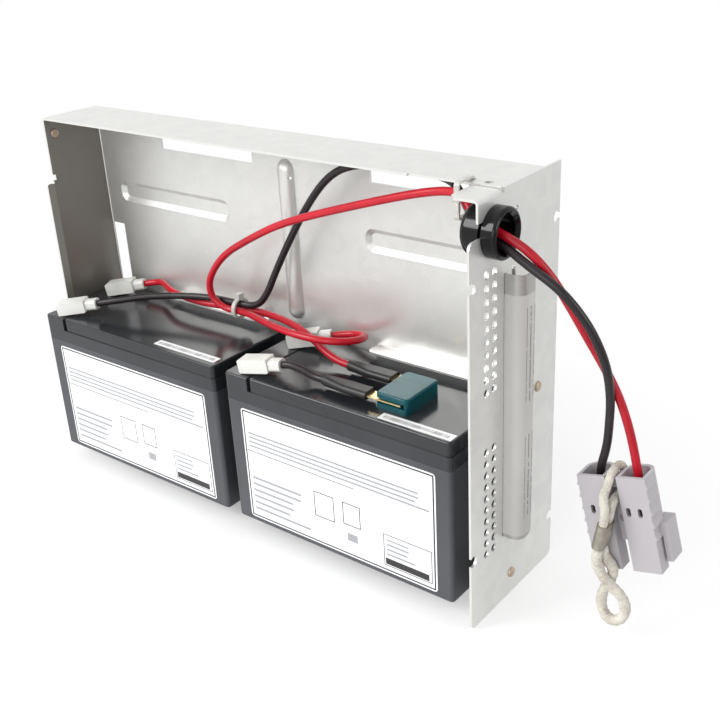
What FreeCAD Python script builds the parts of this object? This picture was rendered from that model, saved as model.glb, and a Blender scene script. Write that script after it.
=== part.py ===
import FreeCAD, Part
import math
import os
import Sketcher
from types import SimpleNamespace
from FreeCAD import Placement, Rotation, Vector

# A battery cartridge for a two-unit-high rack power supply, stood on its long side.
# +X runs along the tray from its closed end to the front plate, +Y from the open side to the
# tray's panel, +Z up. The origin is the middle of the foot of the whole part. Millimetres.

SIZES = {
    # folded sheet tray and its front plate
    "sheet_gauge": 1.2,
    "bend_radius": 1.0,
    "hair": 0.05,
    "tray_height": 224.0,
    "tray_setback": 27.2,
    "plate_width": 81.0,
    "plate_corner_radius": 3.5,
    "rivet_ear_width": 15.0,
    "rivet_ear_height": 24.0,
    "wall_rivet_inset": 6.5,
    "wall_rivet_drop": 10.6,
    "panel_rivet_inset": 5.1,
    "foot_rivet_middle": 38.5,
    "foot_rivet_height": 12.7,
    # flared lip, lap and notch of the closed end
    "lip_reach": 2.3,
    "lip_run": 3.6,
    "lip_corner_radius": 1.5,
    "lip_top_drop": 41.0,
    "lap_width": 30.0,
    "lap_height": 17.5,
    "notch_drop": 39.0,
    "notch_height": 3.4,
    "notch_depth": 2.0,
    # windows, beads, rib and retaining tabs of the panel
    "window_margin": 75.0,
    "window_drop": 21.7,
    "window_height": 13.0,
    "window_left": 57.0,
    "window_right": 58.4,
    "corner_window_width": 11.2,
    "corner_window_bottom": 97.0,
    "corner_window_top": 146.8,
    "bead_left": 12.2,
    "bead_right": 53.3,
    "bead_margin": 53.0,
    "bead_width": 13.4,
    "bead_drop": 54.1,
    "bead_depth": 2.4,
    "bead_radius": 5.4,
    "bead_slope_run": 2.9,
    "bead_shoulder": 0.4,
    "rib_offset": 1.3,
    "rib_width": 11.6,
    "rib_top_drop": 15.6,
    "rib_depth": 4.4,
    "rib_bottom": 111.0,
    "rib_hole_diameter": 1.8,
    "rib_hole_offset": 4.4,
    "rib_hole_drop": 10.4,
    "tab_reach": 10.4,
    "tab_corner_radius": 3.6,
    "tab_clearance": 3.6,
    "anchor_hole_diameter": 3.6,
    "anchor_hole_far_diameter": 4.2,
    "anchor_hole_setback": 18.2,
    "anchor_hole_far_setback": 8.8,
    "anchor_hole_inset": 6.4,
    "edge_step_setback": 50.1,
    "edge_step": 1.0,
    # front plate
    "top_flange_reach": 14.4,
    "top_flange_drop": 0.7,
    "top_flange_near": 7.5,
    "top_flange_gap": 0.6,
    "top_flange_chamfer": 3.0,
    "relief_width": 1.4,
    "relief_depth": 3.0,
    "keyhole_middle": 20.9,
    "keyhole_drop": 18.0,
    "keyhole_radius": 10.9,
    "mouth_height": 6.9,
    "vent_diameter": 4.4,
    "vent_pitch": 6.5,
    "vent_near": 14.1,
    "vent_column_gap": 6.9,
    "vent_rows": 10,
    "vent_upper_drop": 95.0,
    "vent_lower_bottom": 38.6,
    "edge_notch_radius": 3.0,
    "near_notch_inset": 2.0,
    "near_notch_drop": 39.3,
    "near_notch_height": 41.0,
    "far_notch_inset": 2.6,
    "far_notch_drop": 27.2,
    "far_notch_low_inset": 1.6,
    "far_notch_height": 25.5,
    "slot_width": 3.3,
    "slot_height": 12.0,
    "slot_near": 36.2,
    "slot_drop": 38.8,
    "pin_hole_diameter": 2.0,
    "pin_hole_drop": 12.3,
    # pull handle
    "handle_reach": 10.0,
    "handle_near": 29.7,
    "handle_width": 10.8,
    "handle_bottom": 40.4,
    "handle_drop": 40.8,
    "handle_bend_radius": 4.4,
    "handle_fold_radius": 0.5,
    "handle_corner_radius": 3.4,
    "handle_fit": 0.35,
    # rivets
    "rivet_diameter": 3.2,
    "rivet_head_diameter": 5.6,
    "rivet_head_height": 1.1,
    "rivet_fit": 0.05,
    "rivet_head_round": 0.9,
    # cable bushing
    "bushing_inner_radius": 12.6,
    "bushing_outer_radius": 12.1,
    "bushing_bore_radius": 8.6,
    "bushing_neck_fit": 0.3,
    "bushing_inner_length": 10.6,
    "bushing_outer_length": 7.2,
    "bushing_inner_round": 3.6,
    "bushing_outer_round": 1.7,
    "bushing_flare": 1.6,
    # sealed batteries
    "battery_length": 151.0,
    "battery_depth": 65.0,
    "battery_height": 94.0,
    "battery_side_gap": 1.5,
    "battery_gap": 9.0,
    "battery_setback": 2.1,
    "plate_clearance": 11.1,
    "battery_foot_gap": 8.3,
    "adhesive_gauge": 0.8,
    "adhesive_inset": 17.6,
    "adhesive_low": 35.2,
    "lid_height": 16.0,
    "lid_inset": 0.6,
    "cover_height": 8.0,
    "cover_start": 17.6,
    "cover_joint": 0.5,
    "case_corner_radius": 2.5,
    "case_foot_radius": 1.5,
    # battery blades and the boots on them
    "blade_x": 14.0,
    "blade_near_y": 8.0,
    "blade_far_y": 48.0,
    "blade_width": 6.35,
    "blade_gauge": 0.8,
    "blade_height": 6.6,
    "blade_chamfer": 1.2,
    "boot_nose": 5.6,
    "boot_body": 13.4,
    "boot_reach": 20.8,
    "boot_width": 9.4,
    "boot_height": 8.0,
    "boot_below": 3.6,
    "boot_neck_width": 7.6,
    "boot_neck_height": 6.4,
    "boot_neck_radius": 2.1,
    "boot_lift": 4.6,
    "boot_pitch": 9.0,
    "boot_yaw_left": 28.0,
    "boot_yaw_right_near": 11.0,
    "boot_yaw_right_far": 25.0,
    "boot_pocket_length": 8.6,
    "boot_pocket_width": 2.4,
    "boot_pocket_top": 2.9,
    # wires
    "route_setback": 3.1,
    "wire_diameter": 4.2,
    "boot_wire_start": 5.0,
    "sleeve_wire_start": 7.0,
    "contact_wire_start": 8.0,
    # blade fuse
    "fuse_x": 97.5,
    "fuse_y": 11.5,
    "fuse_length": 20.0,
    "fuse_width": 28.6,
    "fuse_gauge": 8.9,
    "fuse_wall": 2.2,
    "fuse_corner_radius": 2.2,
    "fuse_cavity_height": 3.0,
    "fuse_blade_pitch": 21.4,
    "fuse_blade_width": 7.0,
    "fuse_blade_gauge": 0.8,
    "fuse_blade_reach": 13.5,
    "fuse_link_width": 3.0,
    "sleeve_length": 30.0,
    "sleeve_gap": 6.0,
    "sleeve_fit": 0.1,
    "sleeve_wire_radius": 3.1,
    "sleeve_flat_width": 9.8,
    "sleeve_flat_height": 4.6,
    # two-pole connector
    "housing_out": 52.7,
    "housing_back": 24.8,
    "housing_below": 116.9,
    "housing_tilt": 14.3,
    "housing_length": 49.6,
    "housing_width": 35.0,
    "housing_gauge": 15.9,
    "pole_width": 14.6,
    "pole_wall": 1.9,
    "shoulder_length": 35.4,
    "pole_back_radius": 6.0,
    "grip_ribs": 5,
    "grip_rib_pitch": 6.6,
    "grip_rib_height": 0.9,
    "grip_rib_length": 5.4,
    "wing_gap": 1.05,
    "wing_gauge": 2.9,
    "wing_depth": 10.4,
    "wing_top": 24.8,
    "wing_root": 7.0,
    "wing_length": 20.5,
    "web_gauge": 5.0,
    "web_top": 2.0,
    "web_length": 34.0,
    "web_window_top": 8.0,
    "web_window_height": 6.0,
    "bolt_hole_level": 24.0,
    "bolt_hole_radius": 2.2,
    "latch_hole_width": 2.3,
    "latch_hole_height": 4.8,
    "latch_hole_level": 15.6,
    "latch_hole_inset": 2.2,
    "latch_hole_outset": 4.2,
    "cavity_width": 11.2,
    "cavity_back_radius": 4.4,
    "cavity_depth": 28.0,
    "cavity_gauge": 12.2,
    "contact_radius": 3.3,
    "contact_top": 10.0,
    "contact_barrel": 14.0,
    "contact_width": 6.8,
    "contact_gauge": 1.6,
    "contact_tip": 46.5,
    "contact_fit": 0.3,
    "contact_barrel_back": 0.6,
    # pull cord and its crimp
    "pull_cord_diameter": 4.4,
    "crimp_before": 14.4,
    "crimp_below": 34.4,
    "crimp_tilt": 9.6,
    "crimp_length": 13.5,
    "crimp_width": 6.0,
    "crimp_depth": 11.0,
    "crimp_fit": 0.1,
    "strand_pitch": 5.0,
    # cable ties
    "tie_width": 2.6,
    "tie_gauge": 1.1,
    "tie_head_width": 4.4,
    "tie_head_height": 3.9,
    "bundle_x": 127.0,
    "bundle_y": 49.0,
    "bundle_z": 107.4,
    "bundle_radius": 5.4,
    "anchor_loop_width": 14.0,
    "anchor_loop_height": 18.2,
    "anchor_loop_radius": 2.2,
    "anchor_loop_rise": 0.9,
}


class Size:
    """A length that carries both its number and the formula that ties a property to the sheet."""

    def __init__(self, value, formula):
        self.value = value
        self.formula = formula

    def __add__(self, other):
        other = as_size(other)
        return Size(self.value + other.value, f"({self.formula} + {other.formula})")

    def __sub__(self, other):
        other = as_size(other)
        return Size(self.value - other.value, f"({self.formula} - {other.formula})")

    def __mul__(self, other):
        other = as_size(other)
        return Size(self.value * other.value, f"({self.formula} * {other.formula})")

    def __truediv__(self, other):
        other = as_size(other)
        return Size(self.value / other.value, f"({self.formula} / {other.formula})")

    def __neg__(self):
        return Size(-self.value, f"(0 - {self.formula})")


def as_size(number):
    return number if isinstance(number, Size) else Size(float(number), repr(float(number)))


ZERO = as_size(0)
NEAR = 0.02  # how close, in mm, an edge lies to the place it is looked for at
SAME_VOLUME = 1e-6
BEND_SHARE = 0.45  # the part of a wire's shorter run that its bend takes up
os.makedirs("parts", exist_ok=True)
doc = FreeCAD.newDocument("battery_cartridge")
sheet = doc.addObject("Spreadsheet::Sheet", "Sizes")
for row, (alias, number) in enumerate(SIZES.items(), start=1):
    sheet.set(f"A{row}", alias)
    sheet.set(f"B{row}", str(number))
    sheet.setAlias(f"B{row}", alias)
doc.recompute()
size = SimpleNamespace(**{alias: Size(float(sheet.get(alias)), f"Sizes.{alias}") for alias in SIZES})
nodes = []


# ---- sketches and features -------------------------------------------------------------------

def origin_feature(body, role):
    return next(item for item in body.Origin.OriginFeatures if item.Role == role)


def corner_of(x, y, z):
    return Vector(x.value, y.value, z.value)


def bind(thing, path, length):
    thing.setExpression(path, length.formula)


def bind_place(thing, x, y, z):
    for axis, length in (("x", x), ("y", y), ("z", z)):
        bind(thing, f"Placement.Base.{axis}", length)


def new_body(label, x=ZERO, y=ZERO, z=ZERO):
    body = doc.addObject("PartDesign::Body", label)
    body.Label = label
    bind_place(body, x, y, z)
    nodes.append(body)
    return body


def new_sketch(body, plane, level=ZERO):
    """A sketch on one of the body's origin planes, raised by level along that plane's axis."""
    sketch = body.newObject("Sketcher::SketchObject", "Sketch")
    sketch.AttachmentSupport = (origin_feature(body, plane), [""])
    sketch.MapMode = "FlatFace"
    bind(sketch, "AttachmentOffset.Base.z", -level if plane == "XZ_Plane" else level)
    return sketch


def pin(sketch, curve, end, x, y):
    """Fixes one point of a curve at x, y from the sketch's origin."""
    for kind, other_axis, length in (("DistanceX", -2, x), ("DistanceY", -1, y)):
        if length is ZERO:
            sketch.addConstraint(Sketcher.Constraint("PointOnObject", curve, end, other_axis))
        else:
            number = sketch.addConstraint(Sketcher.Constraint(kind, -1, 1, curve, end, length.value))
            bind(sketch, f"Constraints[{number}]", length)


def draw_polygon(sketch, corners):
    corners = [(as_size(x), as_size(y)) for x, y in corners]
    points = [Vector(x.value, y.value, 0) for x, y in corners]
    first = sketch.GeometryCount
    count = len(points)
    for place in range(count):
        sketch.addGeometry(Part.LineSegment(points[place], points[(place + 1) % count]), False)
    for place in range(count):
        sketch.addConstraint(
            Sketcher.Constraint("Coincident", first + place, 2, first + (place + 1) % count, 1)
        )
    for place, (x, y) in enumerate(corners):
        pin(sketch, first + place, 1, x, y)
    return sketch


def draw_rectangle(sketch, x0, y0, x1, y1):
    return draw_polygon(sketch, [(x0, y0), (x1, y0), (x1, y1), (x0, y1)])


def draw_circle(sketch, x, y, radius):
    middle = Vector(as_size(x).value, as_size(y).value, 0)
    curve = sketch.addGeometry(Part.Circle(middle, Vector(0, 0, 1), radius.value), False)
    pin(sketch, curve, 3, x, y)
    constraint = sketch.addConstraint(Sketcher.Constraint("Radius", curve, radius.value))
    bind(sketch, f"Constraints[{constraint}]", radius)
    return sketch


def draw_rounded(sketch, x0, y0, x1, y1, radius):
    """A rectangle whose four corners are tangent arcs."""
    left, low, right, high, bend = (item.value for item in (x0, y0, x1, y1, radius))
    sides = [
        ((left + bend, low), (right - bend, low)),
        ((right, low + bend), (right, high - bend)),
        ((right - bend, high), (left + bend, high)),
        ((left, high - bend), (left, low + bend)),
    ]
    middles = [
        (right - bend, low + bend),
        (right - bend, high - bend),
        (left + bend, high - bend),
        (left + bend, low + bend),
    ]
    first = sketch.GeometryCount
    for start, stop in sides:
        sketch.addGeometry(Part.LineSegment(Vector(*start, 0), Vector(*stop, 0)), False)
    for turn, middle in enumerate(middles):
        circle = Part.Circle(Vector(*middle, 0), Vector(0, 0, 1), bend)
        start = (turn - 1) * math.pi / 2
        sketch.addGeometry(Part.ArcOfCircle(circle, start, start + math.pi / 2), False)
    for place in range(4):
        line, arc, after = first + place, first + 4 + place, first + (place + 1) % 4
        sketch.addConstraint(Sketcher.Constraint("Tangent", line, 2, arc, 1))
        sketch.addConstraint(Sketcher.Constraint("Tangent", arc, 2, after, 1))
        sketch.addConstraint(Sketcher.Constraint("Horizontal" if place % 2 == 0 else "Vertical", line))
    for place in range(1, 4):
        sketch.addConstraint(Sketcher.Constraint("Equal", first + 4, first + 4 + place))
    constraint = sketch.addConstraint(Sketcher.Constraint("Radius", first + 4, bend))
    bind(sketch, f"Constraints[{constraint}]", radius)
    sides = (("DistanceY", 0, y0), ("DistanceX", 1, x1), ("DistanceY", 2, y1), ("DistanceX", 3, x0))
    for kind, curve, length in sides:
        number = sketch.addConstraint(Sketcher.Constraint(kind, -1, 1, first + curve, 1, length.value))
        bind(sketch, f"Constraints[{number}]", length)
    return sketch


def faces_ahead(sketch):
    """True where the sketch's own normal points to the plus side of its plane's axis."""
    return sketch.AttachmentSupport[0][0].Role != "XZ_Plane"


def add(body, sketch, length):
    """Pads a sketch toward the plus side of its plane's axis."""
    feature = body.newObject("PartDesign::Pad", "Pad")
    feature.Profile = sketch
    bind(feature, "Length", length)
    feature.Reversed = not faces_ahead(sketch)
    doc.recompute()
    return feature


def cut(body, sketch, length):
    """Pockets a sketch toward the plus side of its plane's axis."""
    before = body.Tip.Shape.Volume
    feature = body.newObject("PartDesign::Pocket", "Pocket")
    feature.Profile = sketch
    bind(feature, "Length", length)
    feature.Reversed = faces_ahead(sketch)
    doc.recompute()
    if feature.Shape.Volume > before - SAME_VOLUME:
        raise RuntimeError(f"{body.Label}: a pocket removes nothing")
    return feature


def repeat(body, feature, axis, length, copies):
    """Repeats a feature along one of the body's axes."""
    pattern = body.newObject("PartDesign::LinearPattern", "LinearPattern")
    pattern.Originals = [feature]
    pattern.Direction = (origin_feature(body, axis), [""])
    bind(pattern, "Length", length)
    pattern.Occurrences = round(copies.value)
    body.Tip = pattern
    doc.recompute()
    return pattern


def revolve(body, sketch, axis):
    """Turns a sketch once round one of the body's axes."""
    feature = body.newObject("PartDesign::Revolution", "Revolution")
    feature.Profile = sketch
    feature.ReferenceAxis = (origin_feature(body, axis), [""])
    feature.Angle = 360
    doc.recompute()
    return feature


def spans(edge, axis):
    """True for an edge that runs along the axis x, y or z."""
    box = edge.BoundBox
    lengths = {"x": box.XLength, "y": box.YLength, "z": box.ZLength}
    return lengths.pop(axis) > 1e-3 and max(lengths.values()) < 1e-3


def lies(edge, **place):
    """True for an edge whose middle is at the given x, y and z."""
    middle = edge.CenterOfMass
    return all(abs(getattr(middle, axis) - length.value) < NEAR for axis, length in place.items())


def measures(edge, length):
    return abs(edge.Length - length.value) < NEAR


def finish_edges(body, kind, radius, chosen):
    """Fillets or chamfers the edges of the body's tip that the test accepts."""
    names = [f"Edge{place}" for place, edge in enumerate(body.Tip.Shape.Edges, start=1) if chosen(edge)]
    if not names:
        raise RuntimeError(f"{body.Label}: no edge to finish")
    tip = body.Tip
    feature = body.newObject(f"PartDesign::{kind}", kind)
    feature.Base = (tip, names)
    bind(feature, "Radius" if kind == "Fillet" else "Size", radius)
    doc.recompute()
    return feature


def fillet(body, radius, chosen):
    return finish_edges(body, "Fillet", radius, chosen)


# ---- shared places ----------------------------------------------------------------------------

gauge = size.sheet_gauge
tray_top = size.tray_height
batteries_length = size.battery_side_gap + size.battery_length * 2 + size.battery_gap
tray_length = gauge + batteries_length + size.plate_clearance + gauge
left_end = -(size.lip_reach + tray_length + size.handle_reach) / 2
near_side = -size.plate_width / 2
wall_out = size.lip_reach
wall_in = wall_out + gauge
plate_inside = wall_out + tray_length - gauge
panel_front = size.battery_setback + size.battery_depth + size.adhesive_gauge
panel_back = panel_front + gauge
battery_foot = gauge + size.battery_foot_gap
battery_lefts = [
    wall_in + size.battery_side_gap,
    wall_in + size.battery_side_gap + size.battery_length + size.battery_gap,
]
battery_top = battery_foot + size.battery_height
tab_bottom = battery_top + size.tab_clearance
keyhole_height = tray_top - size.keyhole_drop
window_length = size.battery_length - size.window_margin
bead_length = size.battery_length - size.bead_margin
bead_middle = tray_top - size.bead_drop
rib_middle = battery_lefts[1] - size.rib_offset
rib_top = tray_top - size.rib_top_drop
anchor_hole = plate_inside - size.anchor_hole_setback
WALL_RIVET = (size.tray_setback + size.wall_rivet_inset, tray_top - size.wall_rivet_drop)
PANEL_RIVET = (panel_front - size.panel_rivet_inset, tray_top / 2)
FOOT_RIVET = (size.foot_rivet_middle, size.foot_rivet_height)


# ---- tray: one folded sheet, open to the near side ---------------------------------------------

tray = new_body("tray", left_end, near_side, ZERO)
channel = draw_polygon(
    new_sketch(tray, "YZ_Plane", wall_out),
    [
        (size.tray_setback, ZERO),
        (panel_back, ZERO),
        (panel_back, tray_top),
        (size.tray_setback, tray_top),
        (size.tray_setback, tray_top - gauge),
        (panel_front, tray_top - gauge),
        (panel_front, gauge),
        (size.tray_setback, gauge),
    ],
)
add(tray, channel, tray_length - gauge)
end_wall = draw_rectangle(
    new_sketch(tray, "YZ_Plane", wall_out), size.tray_setback, ZERO, panel_back, tray_top
)
add(tray, end_wall, gauge)
fillet(
    tray,
    size.bend_radius + gauge,
    lambda edge: spans(edge, "x")
    and lies(edge, y=panel_back)
    or spans(edge, "y")
    and lies(edge, x=wall_out)
    or spans(edge, "z")
    and lies(edge, x=wall_out, y=panel_back),
)
fillet(
    tray,
    size.bend_radius,
    lambda edge: spans(edge, "x") and lies(edge, y=panel_front)
    or spans(edge, "y") and lies(edge, x=wall_in)
    or spans(edge, "z")
    and lies(edge, x=wall_in)
    and lies(edge, y=panel_front),
)

lap = draw_polygon(
    new_sketch(tray, "XZ_Plane", size.tray_setback + size.top_flange_gap),
    [
        (wall_out - gauge, tray_top - size.lap_height),
        (wall_out + size.hair, tray_top - size.lap_height),
        (wall_out + size.hair, tray_top - gauge - size.bend_radius),
        (wall_out + size.bend_radius + gauge, tray_top - gauge),
        (wall_out + size.bend_radius + gauge, tray_top),
        (wall_out - gauge, tray_top),
    ],
)
add(tray, lap, size.lap_width)
fillet(
    tray,
    size.bend_radius + gauge,
    lambda edge: spans(edge, "y") and lies(edge, x=wall_out - gauge, z=tray_top),
)
lip = draw_polygon(
    new_sketch(tray, "XY_Plane", size.bend_radius + gauge),
    [
        (wall_in, size.tray_setback),
        (wall_out, size.tray_setback),
        (ZERO, size.tray_setback - size.lip_run),
        (gauge, size.tray_setback - size.lip_run),
    ],
)
add(tray, lip, tray_top - size.lip_top_drop - size.bend_radius - gauge)
fillet(
    tray,
    size.lip_corner_radius,
    lambda edge: spans(edge, "x")
    and lies(edge, y=size.tray_setback - size.lip_run, z=tray_top - size.lip_top_drop),
)
notch = draw_rectangle(
    new_sketch(tray, "YZ_Plane", wall_out),
    size.tray_setback,
    tray_top - size.notch_drop,
    size.tray_setback + size.notch_depth,
    tray_top - size.notch_drop + size.notch_height,
)
cut(tray, notch, gauge)

for left in (battery_lefts[0] + size.window_left, battery_lefts[1] + size.window_right):
    window = draw_rounded(
        new_sketch(tray, "XZ_Plane", panel_front),
        left,
        tray_top - size.window_drop,
        left + window_length,
        tray_top - size.window_drop + size.window_height,
        size.bend_radius,
    )
    cut(tray, window, gauge)
    for foot, rise in ((tab_bottom, -1), (battery_foot - gauge, 1)):
        opening = draw_rectangle(
            new_sketch(tray, "XZ_Plane", panel_front),
            left - size.relief_width,
            foot - size.tab_reach if rise < 0 else foot + gauge,
            left + window_length + size.relief_width,
            foot if rise < 0 else foot + gauge + size.tab_reach,
        )
        cut(tray, opening, gauge)
        tab = draw_rectangle(
            new_sketch(tray, "YZ_Plane", left), panel_front - size.tab_reach, foot, panel_back, foot + gauge
        )
        add(tray, tab, window_length)
fillet(
    tray,
    size.bend_radius,
    lambda edge: spans(edge, "x")
    and measures(edge, window_length)
    and (
        lies(edge, y=panel_front, z=tab_bottom + gauge) or lies(edge, y=panel_front, z=battery_foot - gauge)
    ),
)
fillet(
    tray,
    size.tab_corner_radius,
    lambda edge: spans(edge, "z")
    and lies(edge, y=panel_front - size.tab_reach)
    and edge.Length < 2 * gauge.value,
)
corner_window = draw_rectangle(
    new_sketch(tray, "XZ_Plane", panel_front),
    wall_in,
    size.corner_window_bottom,
    wall_in + size.corner_window_width,
    size.corner_window_top,
)
cut(tray, corner_window, gauge)

def dish(kind, left, level, grow):
    """A tapering rounded block from one level of the panel to the bead's depth beyond it."""
    sections = []
    for deeper, inset in ((ZERO, -grow), (size.bead_depth, size.bead_slope_run - grow)):
        sections.append(
            draw_rounded(
                new_sketch(tray, "XZ_Plane", level + deeper),
                left + inset,
                bead_middle - size.bead_width / 2 + inset,
                left + bead_length - inset,
                bead_middle + size.bead_width / 2 - inset,
                size.bead_radius - inset,
            )
        )
    loft = tray.newObject(f"PartDesign::{kind}Loft", "Bead")
    loft.Profile = sections[0]
    loft.Sections = [sections[1]]
    doc.recompute()


for left in (battery_lefts[0] + size.bead_left, battery_lefts[1] + size.bead_right):
    dish("Additive", left, panel_back, size.bead_shoulder)
    dish("Subtractive", left, panel_front, ZERO)


def capsule(kind, radius):
    """An upright round-ended bar at the rib's axis, added or taken away."""
    low = size.rib_bottom + rib_radius
    high = rib_top - rib_radius
    middle = panel_front + rib_radius - size.rib_depth
    bar = tray.newObject(f"PartDesign::{kind}Cylinder", "RibBar")
    bind(bar, "Radius", radius)
    bind(bar, "Height", high - low)
    bind_place(bar, rib_middle, middle, low)
    doc.recompute()
    for level in (low, high):
        ball = tray.newObject(f"PartDesign::{kind}Sphere", "RibEnd")
        bind(ball, "Radius", radius)
        bind_place(ball, rib_middle, middle, level)
        doc.recompute()


rib_radius = (size.rib_width * size.rib_width / 4 + size.rib_depth * size.rib_depth) / (size.rib_depth * 2)
capsule("Additive", rib_radius)
behind_rib = draw_rectangle(
    new_sketch(tray, "XZ_Plane", panel_back),
    rib_middle - size.rib_width,
    size.rib_bottom - gauge,
    rib_middle + size.rib_width,
    rib_top + gauge,
)
cut(tray, behind_rib, rib_radius * 2)
capsule("Subtractive", rib_radius - gauge)
rib_hole = draw_circle(
    new_sketch(tray, "XZ_Plane", panel_front - size.rib_depth),
    rib_middle + size.rib_hole_offset,
    rib_top - size.rib_hole_drop,
    size.rib_hole_diameter / 2,
)
cut(tray, rib_hole, size.rib_depth)

step = draw_rectangle(
    new_sketch(tray, "XY_Plane", tray_top - gauge),
    plate_inside - size.edge_step_setback,
    size.tray_setback,
    plate_inside,
    size.tray_setback + size.edge_step,
)
cut(tray, step, gauge)
for place, back, diameter in (
    (anchor_hole, size.anchor_hole_inset, size.anchor_hole_diameter),
    (
        plate_inside - size.anchor_hole_far_setback,
        size.anchor_hole_inset - size.edge_step,
        size.anchor_hole_far_diameter,
    ),
):
    anchor = draw_circle(
        new_sketch(tray, "XY_Plane", tray_top - gauge), place, size.tray_setback + back, diameter / 2
    )
    cut(tray, anchor, gauge)

panel_ear = draw_rectangle(
    new_sketch(tray, "YZ_Plane", plate_inside - gauge),
    PANEL_RIVET[0] - size.rivet_ear_width / 2,
    PANEL_RIVET[1] - size.rivet_ear_height / 2,
    panel_back,
    PANEL_RIVET[1] + size.rivet_ear_height / 2,
)
add(tray, panel_ear, gauge)
foot_ear = draw_rectangle(
    new_sketch(tray, "YZ_Plane", plate_inside - gauge),
    FOOT_RIVET[0] - size.rivet_ear_width / 2,
    ZERO,
    FOOT_RIVET[0] + size.rivet_ear_width / 2,
    FOOT_RIVET[1] + size.rivet_ear_width / 2,
)
add(tray, foot_ear, gauge)
rivet_radius = size.rivet_diameter / 2
for place in (PANEL_RIVET, FOOT_RIVET):
    hole = draw_circle(new_sketch(tray, "YZ_Plane", plate_inside - gauge), *place, rivet_radius + size.rivet_fit)
    cut(tray, hole, gauge)
hole = draw_circle(new_sketch(tray, "YZ_Plane", wall_out - gauge), *WALL_RIVET, rivet_radius + size.rivet_fit)
cut(tray, hole, gauge * 2)


# ---- front plate -------------------------------------------------------------------------------

plate = new_body("front_plate", left_end + plate_inside, near_side, ZERO)
relief = size.tray_setback + size.relief_width / 2
face = draw_polygon(
    new_sketch(plate, "YZ_Plane"),
    [
        (ZERO, ZERO),
        (size.plate_width, ZERO),
        (size.plate_width, tray_top),
        (relief + size.relief_width, tray_top),
        (relief + size.relief_width, tray_top - size.relief_depth),
        (size.tray_setback - size.top_flange_gap, tray_top - size.relief_depth),
        (size.tray_setback - size.top_flange_gap, tray_top - size.top_flange_drop),
        (size.top_flange_near, tray_top - size.top_flange_drop),
        (size.top_flange_near, keyhole_height + size.mouth_height),
        (ZERO, keyhole_height + size.mouth_height),
    ],
)
add(plate, face, gauge)
top_flange = draw_rectangle(
    new_sketch(plate, "XZ_Plane", size.top_flange_near),
    -size.top_flange_reach,
    tray_top - size.top_flange_drop - gauge,
    gauge,
    tray_top - size.top_flange_drop,
)
add(plate, top_flange, size.tray_setback - size.top_flange_gap - size.top_flange_near)
mouth = draw_rectangle(
    new_sketch(plate, "YZ_Plane"),
    ZERO,
    keyhole_height,
    size.keyhole_middle,
    keyhole_height + size.mouth_height,
)
cut(plate, mouth, gauge)
keyhole = draw_circle(new_sketch(plate, "YZ_Plane"), size.keyhole_middle, keyhole_height, size.keyhole_radius)
cut(plate, keyhole, gauge)
fillet(
    plate,
    size.bend_radius + gauge,
    lambda edge: spans(edge, "y") and lies(edge, x=gauge, z=tray_top - size.top_flange_drop),
)
fillet(
    plate,
    size.bend_radius,
    lambda edge: spans(edge, "y") and lies(edge, x=ZERO, z=tray_top - size.top_flange_drop - gauge),
)
fillet(
    plate,
    size.plate_corner_radius,
    lambda edge: spans(edge, "x")
    and (
        lies(edge, y=ZERO, z=ZERO)
        or lies(edge, y=size.plate_width, z=ZERO)
        or lies(edge, y=ZERO, z=keyhole_height)
    ),
)
finish_edges(
    plate,
    "Chamfer",
    size.top_flange_chamfer,
    lambda edge: spans(edge, "z") and lies(edge, x=-size.top_flange_reach, y=size.top_flange_near),
)
vent_run = size.vent_pitch * (size.vent_rows - 1)
for foot in (size.vent_lower_bottom, tray_top - size.vent_upper_drop):
    for column in (size.vent_near, size.vent_near + size.vent_column_gap):
        vent = draw_circle(new_sketch(plate, "YZ_Plane"), column, foot, size.vent_diameter / 2)
        repeat(plate, cut(plate, vent, gauge), "Z_Axis", vent_run, size.vent_rows)
for y, z in (
    (size.near_notch_inset, tray_top - size.near_notch_drop),
    (size.near_notch_inset, size.near_notch_height),
    (size.plate_width - size.far_notch_inset, tray_top - size.far_notch_drop),
    (size.plate_width - size.far_notch_low_inset, size.far_notch_height),
):
    bite = draw_circle(new_sketch(plate, "YZ_Plane"), y, z, size.edge_notch_radius)
    cut(plate, bite, gauge)
slot = draw_rectangle(
    new_sketch(plate, "YZ_Plane"),
    size.slot_near,
    tray_top - size.slot_drop - size.slot_height,
    size.slot_near + size.slot_width,
    tray_top - size.slot_drop,
)
cut(plate, slot, gauge)
handle_top = tray_top - size.handle_drop
handle_slot = draw_rectangle(
    new_sketch(plate, "YZ_Plane"),
    size.handle_near - size.handle_fit,
    size.handle_bottom - size.handle_fit,
    size.handle_near + gauge + size.handle_fit,
    handle_top + size.handle_fit,
)
cut(plate, handle_slot, gauge)
pin_hole = draw_circle(
    new_sketch(plate, "YZ_Plane"),
    size.handle_near + size.handle_width,
    tray_top - size.pin_hole_drop,
    size.pin_hole_diameter / 2,
)
cut(plate, pin_hole, gauge)
for place in (PANEL_RIVET, FOOT_RIVET):
    hole = draw_circle(new_sketch(plate, "YZ_Plane"), *place, rivet_radius + size.rivet_fit)
    cut(plate, hole, gauge)


# ---- pull handle: a bent strip hooked through the plate's long slot -----------------------------

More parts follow.
